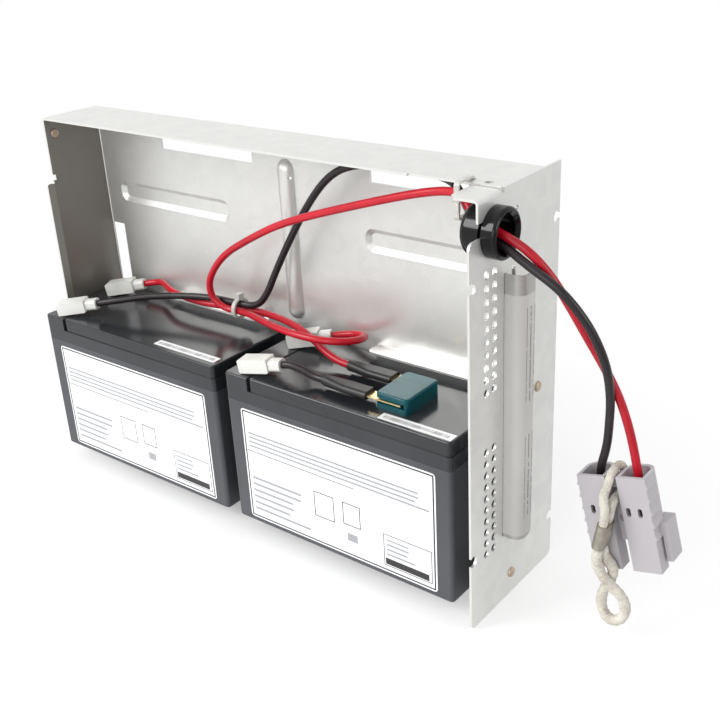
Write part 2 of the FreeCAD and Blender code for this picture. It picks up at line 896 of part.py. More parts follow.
handle = new_body("pull_handle", left_end + plate_inside, near_side + size.handle_near, size.handle_bottom)
hook = draw_polygon(
    new_sketch(handle, "XY_Plane"),
    [
        (-gauge, ZERO),
        (gauge + size.handle_reach, ZERO),
        (gauge + size.handle_reach, size.handle_width),
        (size.handle_reach, size.handle_width),
        (size.handle_reach, gauge),
        (ZERO, gauge),
        (ZERO, size.handle_width),
        (-gauge, size.handle_width),
    ],
)
add(handle, hook, handle_top - size.handle_bottom)
fillet(
    handle,
    size.handle_bend_radius + gauge,
    lambda edge: spans(edge, "z") and lies(edge, x=gauge + size.handle_reach, y=ZERO),
)
fillet(
    handle,
    size.handle_bend_radius,
    lambda edge: spans(edge, "z") and lies(edge, x=size.handle_reach, y=gauge),
)
fillet(
    handle,
    size.handle_fold_radius,
    lambda edge: spans(edge, "z") and lies(edge, x=-gauge, y=ZERO),
)
fillet(
    handle,
    size.handle_corner_radius,
    lambda edge: spans(edge, "x") and lies(edge, y=size.handle_width),
)


# ---- rivets ------------------------------------------------------------------------------------


def build_rivet(label, x, y, z, grip):
    """One solid rivet along +X from x, its heads bearing on both faces of the grip."""
    body = doc.addObject("PartDesign::Body", label)
    bind_place(body, left_end + x, near_side + y, z)
    head = size.rivet_head_diameter / 2
    profile = draw_polygon(
        new_sketch(body, "XY_Plane"),
        [
            (-size.rivet_head_height, ZERO),
            (-size.rivet_head_height, head),
            (ZERO, head),
            (ZERO, rivet_radius),
            (grip, rivet_radius),
            (grip, head),
            (grip + size.rivet_head_height, head),
            (grip + size.rivet_head_height, ZERO),
        ],
    )
    revolve(body, profile, "X_Axis")
    ends = (-size.rivet_head_height, grip + size.rivet_head_height)
    fillet(
        body,
        size.rivet_head_round,
        lambda edge: edge.Length > size.rivet_head_diameter.value
        and any(lies(edge, x=end) for end in ends),
    )
    return body


rivets = doc.addObject("Part::Compound", "rivets")
rivets.Links = [
    build_rivet("wall_rivet", wall_out - gauge, *WALL_RIVET, gauge * 2),
    build_rivet("panel_rivet", plate_inside - gauge, *PANEL_RIVET, gauge * 2),
    build_rivet("foot_rivet", plate_inside - gauge, *FOOT_RIVET, gauge * 2),
]
nodes.append(rivets)


# ---- cable bushing in the plate's keyhole -------------------------------------------------------

bushing = new_body(
    "cable_bushing", left_end + plate_inside, near_side + size.keyhole_middle, keyhole_height
)
neck = size.keyhole_radius - size.bushing_neck_fit
profile = draw_polygon(
    new_sketch(bushing, "XY_Plane"),
    [
        (-size.bushing_inner_length, size.bushing_bore_radius),
        (-size.bushing_inner_length, size.bushing_inner_radius),
        (-size.hair, size.bushing_inner_radius),
        (-size.hair, neck),
        (gauge + size.hair, neck),
        (gauge + size.hair, size.bushing_outer_radius),
        (gauge + size.bushing_outer_length, size.bushing_outer_radius),
        (gauge + size.bushing_outer_length, size.bushing_bore_radius),
    ],
)
revolve(bushing, profile, "X_Axis")
bushing_mouth = gauge + size.bushing_outer_length
for rim, radius, bend in (
    (bushing_mouth, size.bushing_outer_radius, size.bushing_outer_round),
    (-size.bushing_inner_length, size.bushing_inner_radius, size.bushing_inner_round),
):
    fillet(
        bushing,
        bend,
        lambda edge: lies(edge, x=rim)
        and measures(edge, radius * math.tau),
    )
finish_edges(
    bushing,
    "Chamfer",
    size.bushing_flare,
    lambda edge: lies(edge, x=bushing_mouth)
    and measures(edge, size.bushing_bore_radius * math.tau),
)


# ---- sealed batteries --------------------------------------------------------------------------

battery_y = near_side + size.battery_setback


def build_battery(side, left):
    """Case, lid and vent cover of one sealed battery, each a moulding of its own."""
    place = (left_end + left, battery_y)
    case_height = size.battery_height - size.lid_height
    case = new_body(f"battery_case_{side}", *place, battery_foot)
    shell = draw_rounded(
        new_sketch(case, "XY_Plane"), ZERO, ZERO, size.battery_length, size.battery_depth, size.case_corner_radius
    )
    add(case, shell, case_height)
    fillet(case, size.case_foot_radius, lambda edge: lies(edge, z=ZERO))
    lid = new_body(f"battery_lid_{side}", *place, battery_foot + case_height)
    plate_of_lid = draw_rounded(
        new_sketch(lid, "XY_Plane"), ZERO, ZERO, size.battery_length, size.battery_depth, size.case_corner_radius
    )
    add(lid, plate_of_lid, size.lid_height)
    deck = draw_rectangle(
        new_sketch(lid, "XY_Plane", size.lid_height - size.cover_height),
        size.cover_start - size.cover_joint,
        ZERO,
        size.battery_length,
        size.battery_depth,
    )
    cut(lid, deck, size.cover_height)
    fillet(lid, size.bend_radius, lambda edge: lies(edge, z=size.lid_height))
    cover = new_body(f"vent_cover_{side}", *place, battery_foot + size.battery_height - size.cover_height)
    slab = draw_rounded(
        new_sketch(cover, "XY_Plane"),
        size.cover_start,
        size.lid_inset,
        size.battery_length - size.lid_inset,
        size.battery_depth - size.lid_inset,
        size.case_corner_radius,
    )
    add(cover, slab, size.cover_height)
    fillet(cover, size.bend_radius, lambda edge: lies(edge, z=size.cover_height))
    pad = new_body(f"adhesive_pad_{side}", *place, battery_foot)
    bind_place(pad, place[0], near_side + panel_front - size.adhesive_gauge, battery_foot)
    strip = draw_rectangle(
        new_sketch(pad, "XZ_Plane"),
        size.adhesive_inset,
        size.adhesive_low,
        size.battery_length - size.adhesive_inset,
        size.battery_height - size.adhesive_inset,
    )
    add(pad, strip, size.adhesive_gauge)


for side, left in zip(("left", "right"), battery_lefts):
    build_battery(side, left)


# ---- battery blades and the boots pushed over them ----------------------------------------------

boot_ends = {}


def build_terminal(side, left, row, y, yaw):
    """A blade standing on the lid and its boot, both turned by the same angle."""
    name = f"{side}_{row}"
    stand = (left_end + left + size.blade_x, battery_y + y)
    blade = new_body(f"blade_{name}", *stand, battery_foot + size.battery_height)
    section = draw_rectangle(
        new_sketch(blade, "XY_Plane"),
        -size.blade_width / 2,
        -size.blade_gauge / 2,
        size.blade_width / 2,
        size.blade_gauge / 2,
    )
    add(blade, section, size.blade_height)
    finish_edges(
        blade,
        "Chamfer",
        size.blade_chamfer,
        lambda edge: spans(edge, "y") and lies(edge, z=size.blade_height),
    )
    blade.Placement.Rotation = Rotation(Vector(0, 0, 1), yaw.value)
    boot = new_body(f"boot_{name}", *stand, battery_foot + size.battery_height + size.boot_lift)
    hood = draw_rounded(
        new_sketch(boot, "XZ_Plane", -size.boot_width / 2),
        -size.boot_nose,
        -size.boot_below,
        size.boot_body,
        size.boot_height - size.boot_below,
        size.bend_radius,
    )
    add(boot, hood, size.boot_width)
    neck = draw_rounded(
        new_sketch(boot, "YZ_Plane", size.boot_body - size.bend_radius),
        -size.boot_neck_width / 2,
        -size.boot_neck_height / 2,
        size.boot_neck_width / 2,
        size.boot_neck_height / 2,
        size.boot_neck_radius,
    )
    add(boot, neck, size.boot_reach - size.boot_body + size.bend_radius)
    pocket = draw_rectangle(
        new_sketch(boot, "XY_Plane", -size.boot_below),
        -size.boot_pocket_length / 2,
        -size.boot_pocket_width / 2,
        size.boot_pocket_length / 2,
        size.boot_pocket_width / 2,
    )
    cut(boot, pocket, size.boot_below + size.boot_pocket_top)
    turn = Rotation(Vector(0, 0, 1), yaw.value) * Rotation(Vector(0, 1, 0), -size.boot_pitch.value)
    boot.Placement.Rotation = turn
    place = Placement(Vector(boot.Placement.Base), turn)
    boot_ends[name] = [
        place.multVec(Vector(length.value, 0, 0))
        for length in (size.boot_reach, size.boot_reach + size.boot_wire_start)
    ]


build_terminal("left", battery_lefts[0], "near", size.blade_near_y, size.boot_yaw_left)
build_terminal("left", battery_lefts[0], "far", size.blade_far_y, size.boot_yaw_left)
build_terminal("right", battery_lefts[1], "near", size.blade_near_y, size.boot_yaw_right_near)
build_terminal("right", battery_lefts[1], "far", size.blade_far_y, size.boot_yaw_right_far)


# ---- blade fuse and the shrink sleeves over its blades ------------------------------------------

fuse_place = (left_end + battery_lefts[1] + size.fuse_x, battery_y + size.fuse_y, battery_foot + size.battery_height)
low = (size.fuse_width - size.fuse_blade_pitch) / 2
high = (size.fuse_width + size.fuse_blade_pitch) / 2
blade_half = size.fuse_blade_width / 2
fuse = new_body("fuse_body", *fuse_place)
block = draw_rounded(
    new_sketch(fuse, "XY_Plane"), ZERO, ZERO, size.fuse_length, size.fuse_width, size.fuse_corner_radius
)
add(fuse, block, size.fuse_gauge)
finish_edges(
    fuse, "Fillet", size.bend_radius, lambda edge: lies(edge, z=size.fuse_gauge)
)
mouth = draw_rectangle(
    new_sketch(fuse, "YZ_Plane"),
    low - blade_half - size.sleeve_fit,
    (size.fuse_gauge - size.fuse_cavity_height) / 2,
    high + blade_half + size.sleeve_fit,
    (size.fuse_gauge + size.fuse_cavity_height) / 2,
)
cut(fuse, mouth, size.fuse_length - size.fuse_wall)
inner_reach = size.fuse_length - size.fuse_wall * 2
link = new_body("fuse_link", *fuse_place)
strip = draw_polygon(
    new_sketch(link, "XY_Plane", (size.fuse_gauge - size.fuse_blade_gauge) / 2),
    [
        (-size.fuse_blade_reach, low - blade_half),
        (inner_reach, low - blade_half),
        (inner_reach, high + blade_half),
        (-size.fuse_blade_reach, high + blade_half),
        (-size.fuse_blade_reach, high - blade_half),
        (inner_reach - size.fuse_link_width, high - blade_half),
        (inner_reach - size.fuse_link_width, low + blade_half),
        (-size.fuse_blade_reach, low + blade_half),
    ],
)
add(link, strip, size.fuse_blade_gauge)

sleeve_ends = {}
for row, middle in (("near", low), ("far", high)):
    start = (fuse_place[0] - size.sleeve_gap - size.sleeve_length, fuse_place[1] + middle)
    sleeve = new_body(f"shrink_sleeve_{row}", *start, fuse_place[2] + size.fuse_gauge / 2)
    sections = []
    for level, wide, tall in (
        (ZERO, size.sleeve_wire_radius * 2, size.sleeve_wire_radius * 2),
        (size.sleeve_length / 2, size.sleeve_flat_width, size.sleeve_flat_height),
    ):
        sections.append(
            draw_rounded(
                new_sketch(sleeve, "YZ_Plane", level),
                -wide / 2,
                -tall / 2,
                wide / 2,
                tall / 2,
                tall / 2 - size.hair,
            )
        )
    loft = sleeve.newObject("PartDesign::AdditiveLoft", "Shoulder")
    loft.Profile = sections[0]
    loft.Sections = [sections[1]]
    doc.recompute()
    flat = draw_rounded(
        new_sketch(sleeve, "YZ_Plane", size.sleeve_length / 2),
        -size.sleeve_flat_width / 2,
        -size.sleeve_flat_height / 2,
        size.sleeve_flat_width / 2,
        size.sleeve_flat_height / 2,
        size.sleeve_flat_height / 2 - size.hair,
    )
    add(sleeve, flat, size.sleeve_length / 2)
    grip = size.fuse_blade_reach - size.sleeve_gap + size.sleeve_fit
    blade_pocket = draw_rectangle(
        new_sketch(sleeve, "YZ_Plane", size.sleeve_length - grip),
        -blade_half - size.sleeve_fit,
        -size.fuse_blade_gauge / 2 - size.sleeve_fit,
        blade_half + size.sleeve_fit,
        size.fuse_blade_gauge / 2 + size.sleeve_fit,
    )
    cut(sleeve, blade_pocket, grip)
    sleeve_ends[row] = [
        sleeve.Placement.Base - Vector(length.value, 0, 0) for length in (size.sleeve_wire_start, ZERO)
    ]


# ---- two-pole connector on the end of the leads --------------------------------------------------

route_y = near_side + size.route_setback
bushing_middle = (left_end + plate_inside + gauge, near_side + size.keyhole_middle, keyhole_height)
housing_place = (
    bushing_middle[0] + size.housing_out,
    bushing_middle[1] + size.housing_back,
    bushing_middle[2] - size.housing_below,
)
housing_turn = Placement(
    corner_of(*housing_place), Rotation(Vector(0, 1, 0), -size.housing_tilt.value)
)
half_gauge = size.housing_gauge / 2
pole_out = size.housing_width / 2
pole_in = pole_out - size.pole_width
cavity_offset = (pole_out + pole_in) / 2


def face_down(length):
    """A level below the housing's cable end."""
    return -length


housing = new_body("connector_housing", *housing_place)
for left, right in ((-pole_out, -pole_in), (pole_in, pole_out)):
    pole = draw_rectangle(
        new_sketch(housing, "XY_Plane", face_down(size.shoulder_length)), left, -half_gauge, right, half_gauge
    )
    add(housing, pole, size.shoulder_length)
fillet(
    housing,
    size.pole_back_radius,
    lambda edge: spans(edge, "z") and lies(edge, y=half_gauge),
)
web = draw_rectangle(
    new_sketch(housing, "XY_Plane", face_down(size.web_top + size.web_length)),
    -pole_in - size.pole_wall,
    -size.web_gauge / 2,
    pole_in + size.pole_wall,
    size.web_gauge / 2,
)
add(housing, web, size.web_length)
for left, right in ((-pole_out, -pole_in), (pole_in, pole_out)):
    tongue = draw_rectangle(
        new_sketch(housing, "XY_Plane", face_down(size.housing_length)), left, -half_gauge, right, ZERO
    )
    add(housing, tongue, size.housing_length - size.shoulder_length)
wing_in = pole_out + size.wing_gap
wing_out = wing_in + size.wing_gauge
for inner, length in ((pole_out - size.pole_wall, size.wing_root), (wing_in, size.wing_length)):
    wing = draw_rectangle(
        new_sketch(housing, "XY_Plane", face_down(size.wing_top + length)),
        inner,
        half_gauge - size.wing_depth,
        wing_out,
        half_gauge,
    )
    add(housing, wing, length)
grip_run = size.grip_rib_pitch * (size.grip_ribs - 1)
for side in (-1, 1):
    outer = pole_out * side
    tooth = draw_polygon(
        new_sketch(housing, "XZ_Plane", -half_gauge),
        [
            (outer - size.grip_rib_height * side, face_down(grip_run)),
            (outer + size.grip_rib_height * side, face_down(grip_run + size.grip_rib_length)),
            (outer - size.grip_rib_height * side, face_down(grip_run + size.grip_rib_length)),
        ],
    )
    ridge = add(housing, tooth, size.housing_gauge - size.pole_back_radius)
    repeat(housing, ridge, "Z_Axis", grip_run, size.grip_ribs)
for side in (-1, 1):
    cavity = draw_rectangle(
        new_sketch(housing, "XY_Plane", face_down(size.cavity_depth)),
        cavity_offset * side - size.cavity_width / 2,
        -size.cavity_gauge / 2,
        cavity_offset * side + size.cavity_width / 2,
        size.cavity_gauge / 2,
    )
    cut(housing, cavity, size.cavity_depth)
    channel = draw_rectangle(
        new_sketch(housing, "XY_Plane", face_down(size.housing_length)),
        cavity_offset * side - size.contact_width / 2 - size.contact_fit,
        ZERO,
        cavity_offset * side + size.contact_width / 2 + size.contact_fit,
        size.contact_gauge + size.contact_fit * 2,
    )
    cut(housing, channel, size.housing_length - size.cavity_depth)
    for start in (
        pole_in + size.latch_hole_inset,
        pole_out - size.latch_hole_outset - size.latch_hole_width,
    ):
        across = start + size.latch_hole_width / 2
        latch_hole = draw_rounded(
            new_sketch(housing, "XZ_Plane", -half_gauge),
            across * side - size.latch_hole_width / 2,
            face_down(size.latch_hole_level + size.latch_hole_height),
            across * side + size.latch_hole_width / 2,
            face_down(size.latch_hole_level),
            size.latch_hole_width / 2 - size.hair,
        )
        cut(housing, latch_hole, (size.housing_gauge - size.cavity_gauge) / 2 + size.hair)
fillet(
    housing,
    size.cavity_back_radius,
    lambda edge: spans(edge, "z") and lies(edge, y=size.cavity_gauge / 2),
)
window = draw_rectangle(
    new_sketch(housing, "XZ_Plane", -half_gauge),
    -pole_in + size.hair,
    face_down(size.web_window_top + size.web_window_height),
    pole_in - size.hair,
    face_down(size.web_window_top),
)
cut(housing, window, size.housing_gauge)
bolt_hole = draw_circle(
    new_sketch(housing, "XZ_Plane", -half_gauge), ZERO, face_down(size.bolt_hole_level), size.bolt_hole_radius
)
cut(housing, bolt_hole, size.housing_gauge)
housing.Placement.Rotation = housing_turn.Rotation

contact_tops = {}
for pole, side in (("black", -1), ("red", 1)):
    contact = new_body(f"contact_{pole}", *housing_place)
    barrel = draw_circle(
        new_sketch(contact, "XY_Plane", face_down(size.contact_top + size.contact_barrel)),
        cavity_offset * side,
        size.contact_barrel_back,
        size.contact_radius,
    )
    add(contact, barrel, size.contact_barrel)
    tongue = draw_rectangle(
        new_sketch(contact, "XY_Plane", face_down(size.contact_tip)),
        cavity_offset * side - size.contact_width / 2,
        size.contact_fit,
        cavity_offset * side + size.contact_width / 2,
        size.contact_fit + size.contact_gauge,
    )
    add(contact, tongue, size.contact_tip - size.contact_top - size.contact_radius)
    contact.Placement.Rotation = housing_turn.Rotation
    contact_tops[pole] = [
        housing_turn.multVec(corner_of(cavity_offset * side, size.contact_barrel_back, level))
        for level in (size.contact_wire_start - size.contact_top, -size.contact_top)
    ]


# ---- wires and pull cord: straight runs joined by tangent arcs ------------------------------------


LEFT_CORNER = corner_of(left_end + battery_lefts[0], route_y, battery_foot)
RIGHT_CORNER = corner_of(left_end + battery_lefts[1], route_y, battery_foot)
BUSHING = corner_of(*bushing_middle)
HOUSING = corner_of(*housing_place)


def seen_from(place, points):
    """Turning points given from one of the pieces that the wire passes."""
    return [place + Vector(*point) for point in points]


def build_cord(label, points, diameter):
    """A round solid swept along the route, every turn an arc tangent to both of its runs."""
    edges, here, tightest = [], points[0], math.inf
    for before, corner, after in zip(points, points[1:], points[2:]):
        back, ahead = before - corner, after - corner
        turn = math.pi - back.getAngle(ahead)
        trim = BEND_SHARE * min(back.Length, ahead.Length)
        start, stop = corner + back.normalize() * trim, corner + ahead.normalize() * trim
        bend = trim / math.tan(turn / 2)
        bulge = (back + ahead).normalize() * (bend / math.cos(turn / 2) - bend)
        edges += [Part.LineSegment(here, start).toShape(), Part.Arc(start, corner + bulge, stop).toShape()]
        here, tightest = stop, min(tightest, bend)
    edges.append(Part.LineSegment(here, points[-1]).toShape())
    path = Part.Wire(edges)
    ring = Part.Wire(Part.Circle(points[0], points[1] - points[0], diameter.value / 2).toShape())
    cord = path.makePipeShell([ring], True, False)
    expected = math.pi * (diameter.value / 2) ** 2 * path.Length
    if abs(cord.Volume - expected) > 0.02 * expected:
        raise RuntimeError(f"{label}: its volume is {cord.Volume:.0f}, not {expected:.0f}")
    body = doc.addObject("Part::Feature", label)
    body.Shape = cord
    nodes.append(body)
    print(f"{label}: {path.Length:.0f} long, tightest bend {tightest:.1f}")


build_cord(
    "black_lead",
    boot_ends["left_near"]
    + seen_from(
        LEFT_CORNER,
        [
            (46, 23.6, 104.4), (60, 32.5, 106.8), (80, 42, 108.2), (104, 49, 109.6), (127, 49, 110.1),
            (141, 50, 111), (150, 50, 121), (158, 50, 136), (172, 49, 158),
        ],
    )
    + seen_from(
        BUSHING,
        [
            (-133.3, 28.2, -14.5), (-116.3, 26.2, 3.5), (-99.3, 25.7, 12), (-76.3, 24.7, 14.2), (-53.3, 23.2, 14.5),
            (-36.3, 19.8, 14.1), (-27.3, 13.8, 11.5), (-20.3, 8.2, 7.7), (-12.8, 4, 1.9), (-4.8, 0.4, -3.5),
            (5.2, -0.1, -5.8), (18, -0.9, -12.8), (31.6, 0.6, -20.6), (40.3, 3.5, -30.8), (46.3, 7.1, -42.2),
            (50.7, 12.1, -58.2),
        ],
    )
    + seen_from(HOUSING, [(-2.2, -6.5, 40.8), (-3.9, -2.8, 24.8), (-5.6, -0.3, 10.8)])
    + contact_tops["black"],
    size.wire_diameter,
)
build_cord(
    "red_lead",
    boot_ends["right_far"]
    + seen_from(
        RIGHT_CORNER,
        [
            (47.5, 60.3, 104.6), (57, 56, 107), (61.5, 46.5, 109.4), (57, 36, 111), (46.5, 29.5, 112),
            (32, 27.6, 112.4), (16, 30, 111.8), (0, 35.5, 110.3),
        ],
    )
    + seen_from(
        LEFT_CORNER,
        [
            (141, 43, 108.5), (127, 46.8, 106.1), (117.5, 45.4, 106.4), (110, 43.6, 111.5), (109, 42.4, 120.5),
            (113.5, 42, 130), (126, 41.4, 143.5), (150, 38, 157.5),
        ],
    )
    + seen_from(
        BUSHING,
        [
            (-143.3, 16.2, -23.5), (-108.3, 13.2, -11), (-73.3, 10.7, 0.5), (-48.3, 9.8, 8.1), (-32.3, 9.2, 11.7),
            (-21.3, 5.8, 12.9), (-14.3, 2.2, 7.5), (-7.5, 0.2, 2.6), (5.2, 0.1, -1), (16.6, 1.6, -6.8),
            (25.8, 6, -18.6), (33.2, 11.5, -34.8), (39.1, 15.7, -48.3), (45.6, 19.9, -62.2),
        ],
    )
    + seen_from(HOUSING, [(-0.4, -2, 40), (4.2, -0.9, 27), (7.6, -0.2, 14.4)])
    + contact_tops["red"],
    size.wire_diameter,
)
build_cord(
    "red_link",
    boot_ends["left_far"]
    + seen_from(
        LEFT_CORNER,
        [
            (44, 60.6, 104.2), (53, 56.4, 105.2), (64, 51, 105), (80, 48.6, 104.4), (96, 48.8, 104.2),
            (113, 50.6, 104.9), (127, 51.2, 106), (141, 51.8, 106.8),
        ],
    )
    + seen_from(RIGHT_CORNER, [(-2, 49.5, 107.6), (16, 45, 107.6), (33, 39.6, 105.2), (44.5, 36.2, 101.4)])
    + sleeve_ends["far"],
    size.wire_diameter,
)
build_cord(
    "black_link",
    boot_ends["right_near"] + seen_from(RIGHT_CORNER, [(46.6, 13.1, 101.4)]) + sleeve_ends["near"],
    size.wire_diameter,
)

crimp_place = (housing_place[0], housing_place[1] - size.crimp_before, housing_place[2] - size.crimp_below)
crimp_turn = Placement(
    corner_of(*crimp_place), Rotation(Vector(0, 1, 0), size.crimp_tilt.value)
)
crimp = new_body("cord_crimp", *crimp_place)
oval = draw_rounded(
    new_sketch(crimp, "XY_Plane"),
    -size.crimp_width / 2,
    -size.crimp_depth / 2,
    size.crimp_width / 2,
    size.crimp_depth / 2,
    size.crimp_width / 2 - size.hair,
)
add(crimp, oval, size.crimp_length)
for side in (-1, 1):
    strand_hole = draw_circle(
        new_sketch(crimp, "XY_Plane"), ZERO, size.strand_pitch / 2 * side, size.pull_cord_diameter / 2 + size.crimp_fit
    )
    cut(crimp, strand_hole, size.crimp_length)
crimp.Placement.Rotation = crimp_turn.Rotation


def strand(side, level):
    """A point on one of the crimp's two strands, level up from its lower end."""
    return crimp_turn.multVec(Vector(0, side * size.strand_pitch.value / 2, level))


def in_housing(x, y, z):
    return housing_turn.multVec(Vector(x, y, z))


build_cord(
    "pull_cord",
    [
        strand(1, 8.5),
        strand(1, 20.5),
        in_housing(-0.3, -8.6, -12.2),
        in_housing(0, 0, -11),
        in_housing(0, 6.0, -9.5),
        in_housing(0, 7.0, -3.0),
        in_housing(0, 4.0, 1.6),
        in_housing(0, -3.8, 1.6),
        in_housing(-0.3, -9.2, -2.0),
        in_housing(-2.5, -14.2, -8.6),
        strand(-1, 20.5),
        strand(-1, -4.5),
    ]
    + seen_from(
        HOUSING,
        [
            (0.4, -16, -47.6), (5.8, -14.6, -55), (12.2, -13, -60.1), (14.4, -11.8, -69.1), (11, -11.2, -77),
            (5, -10.8, -79), (0.2, -10.2, -73.4), (0.4, -9.6, -64.1), (4.6, -9.8, -55.6), (6.6, -11.2, -47.1),
        ],
    )
    + [strand(1, -5.7), strand(1, 7.0)],
    size.pull_cord_diameter,
)


# ---- cable ties ----------------------------------------------------------------------------------

bundle_tie = new_body(
    "bundle_tie",
    left_end + battery_lefts[0] + size.bundle_x - size.tie_width / 2,
    route_y + size.bundle_y,
    battery_foot + size.bundle_z,
)
ring = new_sketch(bundle_tie, "YZ_Plane")
draw_circle(ring, ZERO, ZERO, size.bundle_radius + size.tie_gauge)
draw_circle(ring, ZERO, ZERO, size.bundle_radius)
add(bundle_tie, ring, size.tie_width)
head = draw_rectangle(
    new_sketch(bundle_tie, "YZ_Plane", -size.tie_gauge / 2),
    -size.tie_head_width / 2,
    size.bundle_radius + size.tie_gauge / 2,
    size.tie_head_width / 2,
    size.bundle_radius + size.tie_head_height,
)
add(bundle_tie, head, size.tie_width + size.tie_gauge)

anchor_tie = new_body(
    "anchor_tie",
    left_end + anchor_hole - size.tie_width / 2,
    near_side + size.tray_setback + size.anchor_hole_inset + size.tie_gauge / 2,
    tray_top + size.tie_gauge + size.anchor_loop_rise,
)
loop = new_sketch(anchor_tie, "YZ_Plane")
draw_rounded(loop, -size.anchor_loop_width, -size.anchor_loop_height, ZERO, ZERO, size.anchor_loop_radius)
draw_rounded(
    loop,
    size.tie_gauge - size.anchor_loop_width,
    size.tie_gauge - size.anchor_loop_height,
    -size.tie_gauge,
    -size.tie_gauge,
    size.anchor_loop_radius - size.tie_gauge,
)
add(anchor_tie, loop, size.tie_width)
head = draw_rectangle(
    new_sketch(anchor_tie, "YZ_Plane", -size.tie_gauge / 2),
    -size.anchor_loop_width - size.tie_gauge,
    -size.anchor_loop_height / 2 - size.tie_head_width,
    size.tie_gauge / 2 - size.anchor_loop_width,
    -size.anchor_loop_height / 2,
)
add(anchor_tie, head, size.tie_width + size.tie_gauge)

# ---- output ------------------------------------------------------------------------------------

doc.recompute()
for thing in doc.Objects:
    if {"Invalid", "Error"} & set(thing.State):
        raise RuntimeError(f"{thing.Label}: {thing.State}")
for node in nodes:
    if node.Shape.isNull() or not node.Shape.isValid():
        raise RuntimeError(f"{node.Label}: its shape is not valid")
    node.Shape.exportStep(f"parts/{node.Label}.step")
print(len(nodes), "nodes")
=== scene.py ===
import math
import bpy
import numpy as np
from mathutils import Matrix, Vector


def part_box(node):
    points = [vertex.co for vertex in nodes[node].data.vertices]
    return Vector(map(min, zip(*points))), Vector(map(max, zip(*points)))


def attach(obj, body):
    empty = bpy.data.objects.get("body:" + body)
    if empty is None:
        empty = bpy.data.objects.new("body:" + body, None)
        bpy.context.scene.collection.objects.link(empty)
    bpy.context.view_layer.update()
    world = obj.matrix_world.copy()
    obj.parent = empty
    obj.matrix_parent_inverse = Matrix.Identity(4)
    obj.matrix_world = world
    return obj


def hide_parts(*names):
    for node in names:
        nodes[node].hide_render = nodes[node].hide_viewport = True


# Battery cartridge for a rack power supply: looks, labels, leads and pull cord on the CAD frame.
# Metres, +X along the tray towards the vented plate, +Y towards the back panel, +Z up.

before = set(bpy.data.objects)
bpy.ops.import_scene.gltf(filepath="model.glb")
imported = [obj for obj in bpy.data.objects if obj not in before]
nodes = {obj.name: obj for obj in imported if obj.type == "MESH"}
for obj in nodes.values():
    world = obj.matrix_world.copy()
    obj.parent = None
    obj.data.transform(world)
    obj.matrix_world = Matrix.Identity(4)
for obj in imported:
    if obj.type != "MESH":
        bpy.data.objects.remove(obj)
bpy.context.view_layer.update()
MM = 0.001


def box_of(node):
    """The lowest and highest corner of a piece's box, in millimetres."""
    return [np.array(corner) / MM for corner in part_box(node)]


# The places that the wires' turning points are counted from, in millimetres.
ROUTE_INSET = np.array([0.0, 1.0, 0.0])
LEFT_CORNER = box_of("battery_case_left")[0] + ROUTE_INSET
RIGHT_CORNER = box_of("battery_case_right")[0] + ROUTE_INSET
BUSHING = np.mean(box_of("cable_bushing"), axis=0)
BUSHING[0] = box_of("front_plate")[1][0]
HOUSING = BUSHING + np.array([52.7, 24.8, -116.9])
CRIMP = HOUSING + np.array([0.0, -14.4, -34.4])


# ---- camera, floor and light --------------------------------------------------------------------

scene = bpy.context.scene
scene.view_settings.view_transform = "Standard"


def add_camera():
    """A long-lensed studio camera, standing in front and to the right, a little above."""
    right = Vector((0.788, 0.613, -0.051)).normalized()
    forward = Vector((-0.574, 0.7017, -0.4226)).normalized()
    up = right.cross(forward)
    right = forward.cross(up)
    camera = bpy.data.cameras.new("camera")
    camera.lens = 52.99
    camera.sensor_width = 36.0
    camera.shift_x = 0.0021
    camera.shift_y = -0.0038
    camera.clip_start = 0.01
    stand = bpy.data.objects.new("camera", camera)
    turn = Matrix((right, up, -forward)).transposed().to_4x4()
    stand.matrix_world = Matrix.Translation(Vector((0.3916, -0.4030, 0.3558))) @ turn
    scene.collection.objects.link(stand)
    scene.camera = stand


add_camera()


def add_light(name, place, target, size, watts, color=(1.0, 1.0, 1.0)):
    """A square soft box at place that faces target."""
    lamp = bpy.data.lights.new(name, "AREA")
    lamp.shape = "SQUARE"
    lamp.size = size
    lamp.energy = watts
    lamp.color = color
    stand = bpy.data.objects.new(name, lamp)
    aim = (Vector(target) - Vector(place)).to_track_quat("-Z", "Y").to_matrix().to_4x4()
    stand.matrix_world = Matrix.Translation(Vector(place)) @ aim
    scene.collection.objects.link(stand)


add_light("key_light", (-0.85, -1.15, 1.05), (0.0, 0.0, 0.10), 0.8, 19.0)
add_light("front_light", (0.35, -1.5, 0.55), (0.0, 0.0, 0.12), 0.7, 5.0)
add_light("plate_light", (1.5, 0.15, 0.55), (0.15, 0.0, 0.12), 0.7, 6.0)


# ---- shader tools -------------------------------------------------------------------------------


class Value:
    """A number in a material's node tree that adds, multiplies and compares like a plain one."""

    def __init__(self, net, socket):
        self.net = net
        self.socket = socket

    def _maths(self, operation, *others, clamp=False):
        inputs = (self, *others)
        return self.net.node("ShaderNodeMath", inputs, operation=operation, use_clamp=clamp)

    def __add__(self, other):
        return self._maths("ADD", other)

    def __sub__(self, other):
        return self._maths("SUBTRACT", other)

    def __rsub__(self, other):
        return self._maths("MULTIPLY", -1.0) + other

    def __mul__(self, other):
        return self._maths("MULTIPLY", other)

    def __truediv__(self, other):
        return self._maths("DIVIDE", other)

    def __gt__(self, other):
        return self._maths("GREATER_THAN", other)

    def __lt__(self, other):
        return self._maths("LESS_THAN", other)

    def __mod__(self, other):
        return self._maths("FLOORED_MODULO", other)

    def sine(self):
        return self._maths("SINE")

    def floor(self):
        return self._maths("FLOOR")

    def root(self):
        return self._maths("SQRT")

    def clamped(self):
        return self._maths("ADD", 0.0, clamp=True)

    def ramp(self, start, stop):
        """0 below start, 1 above stop, even between."""
        return ((self - start) * (1.0 / (stop - start))).clamped()


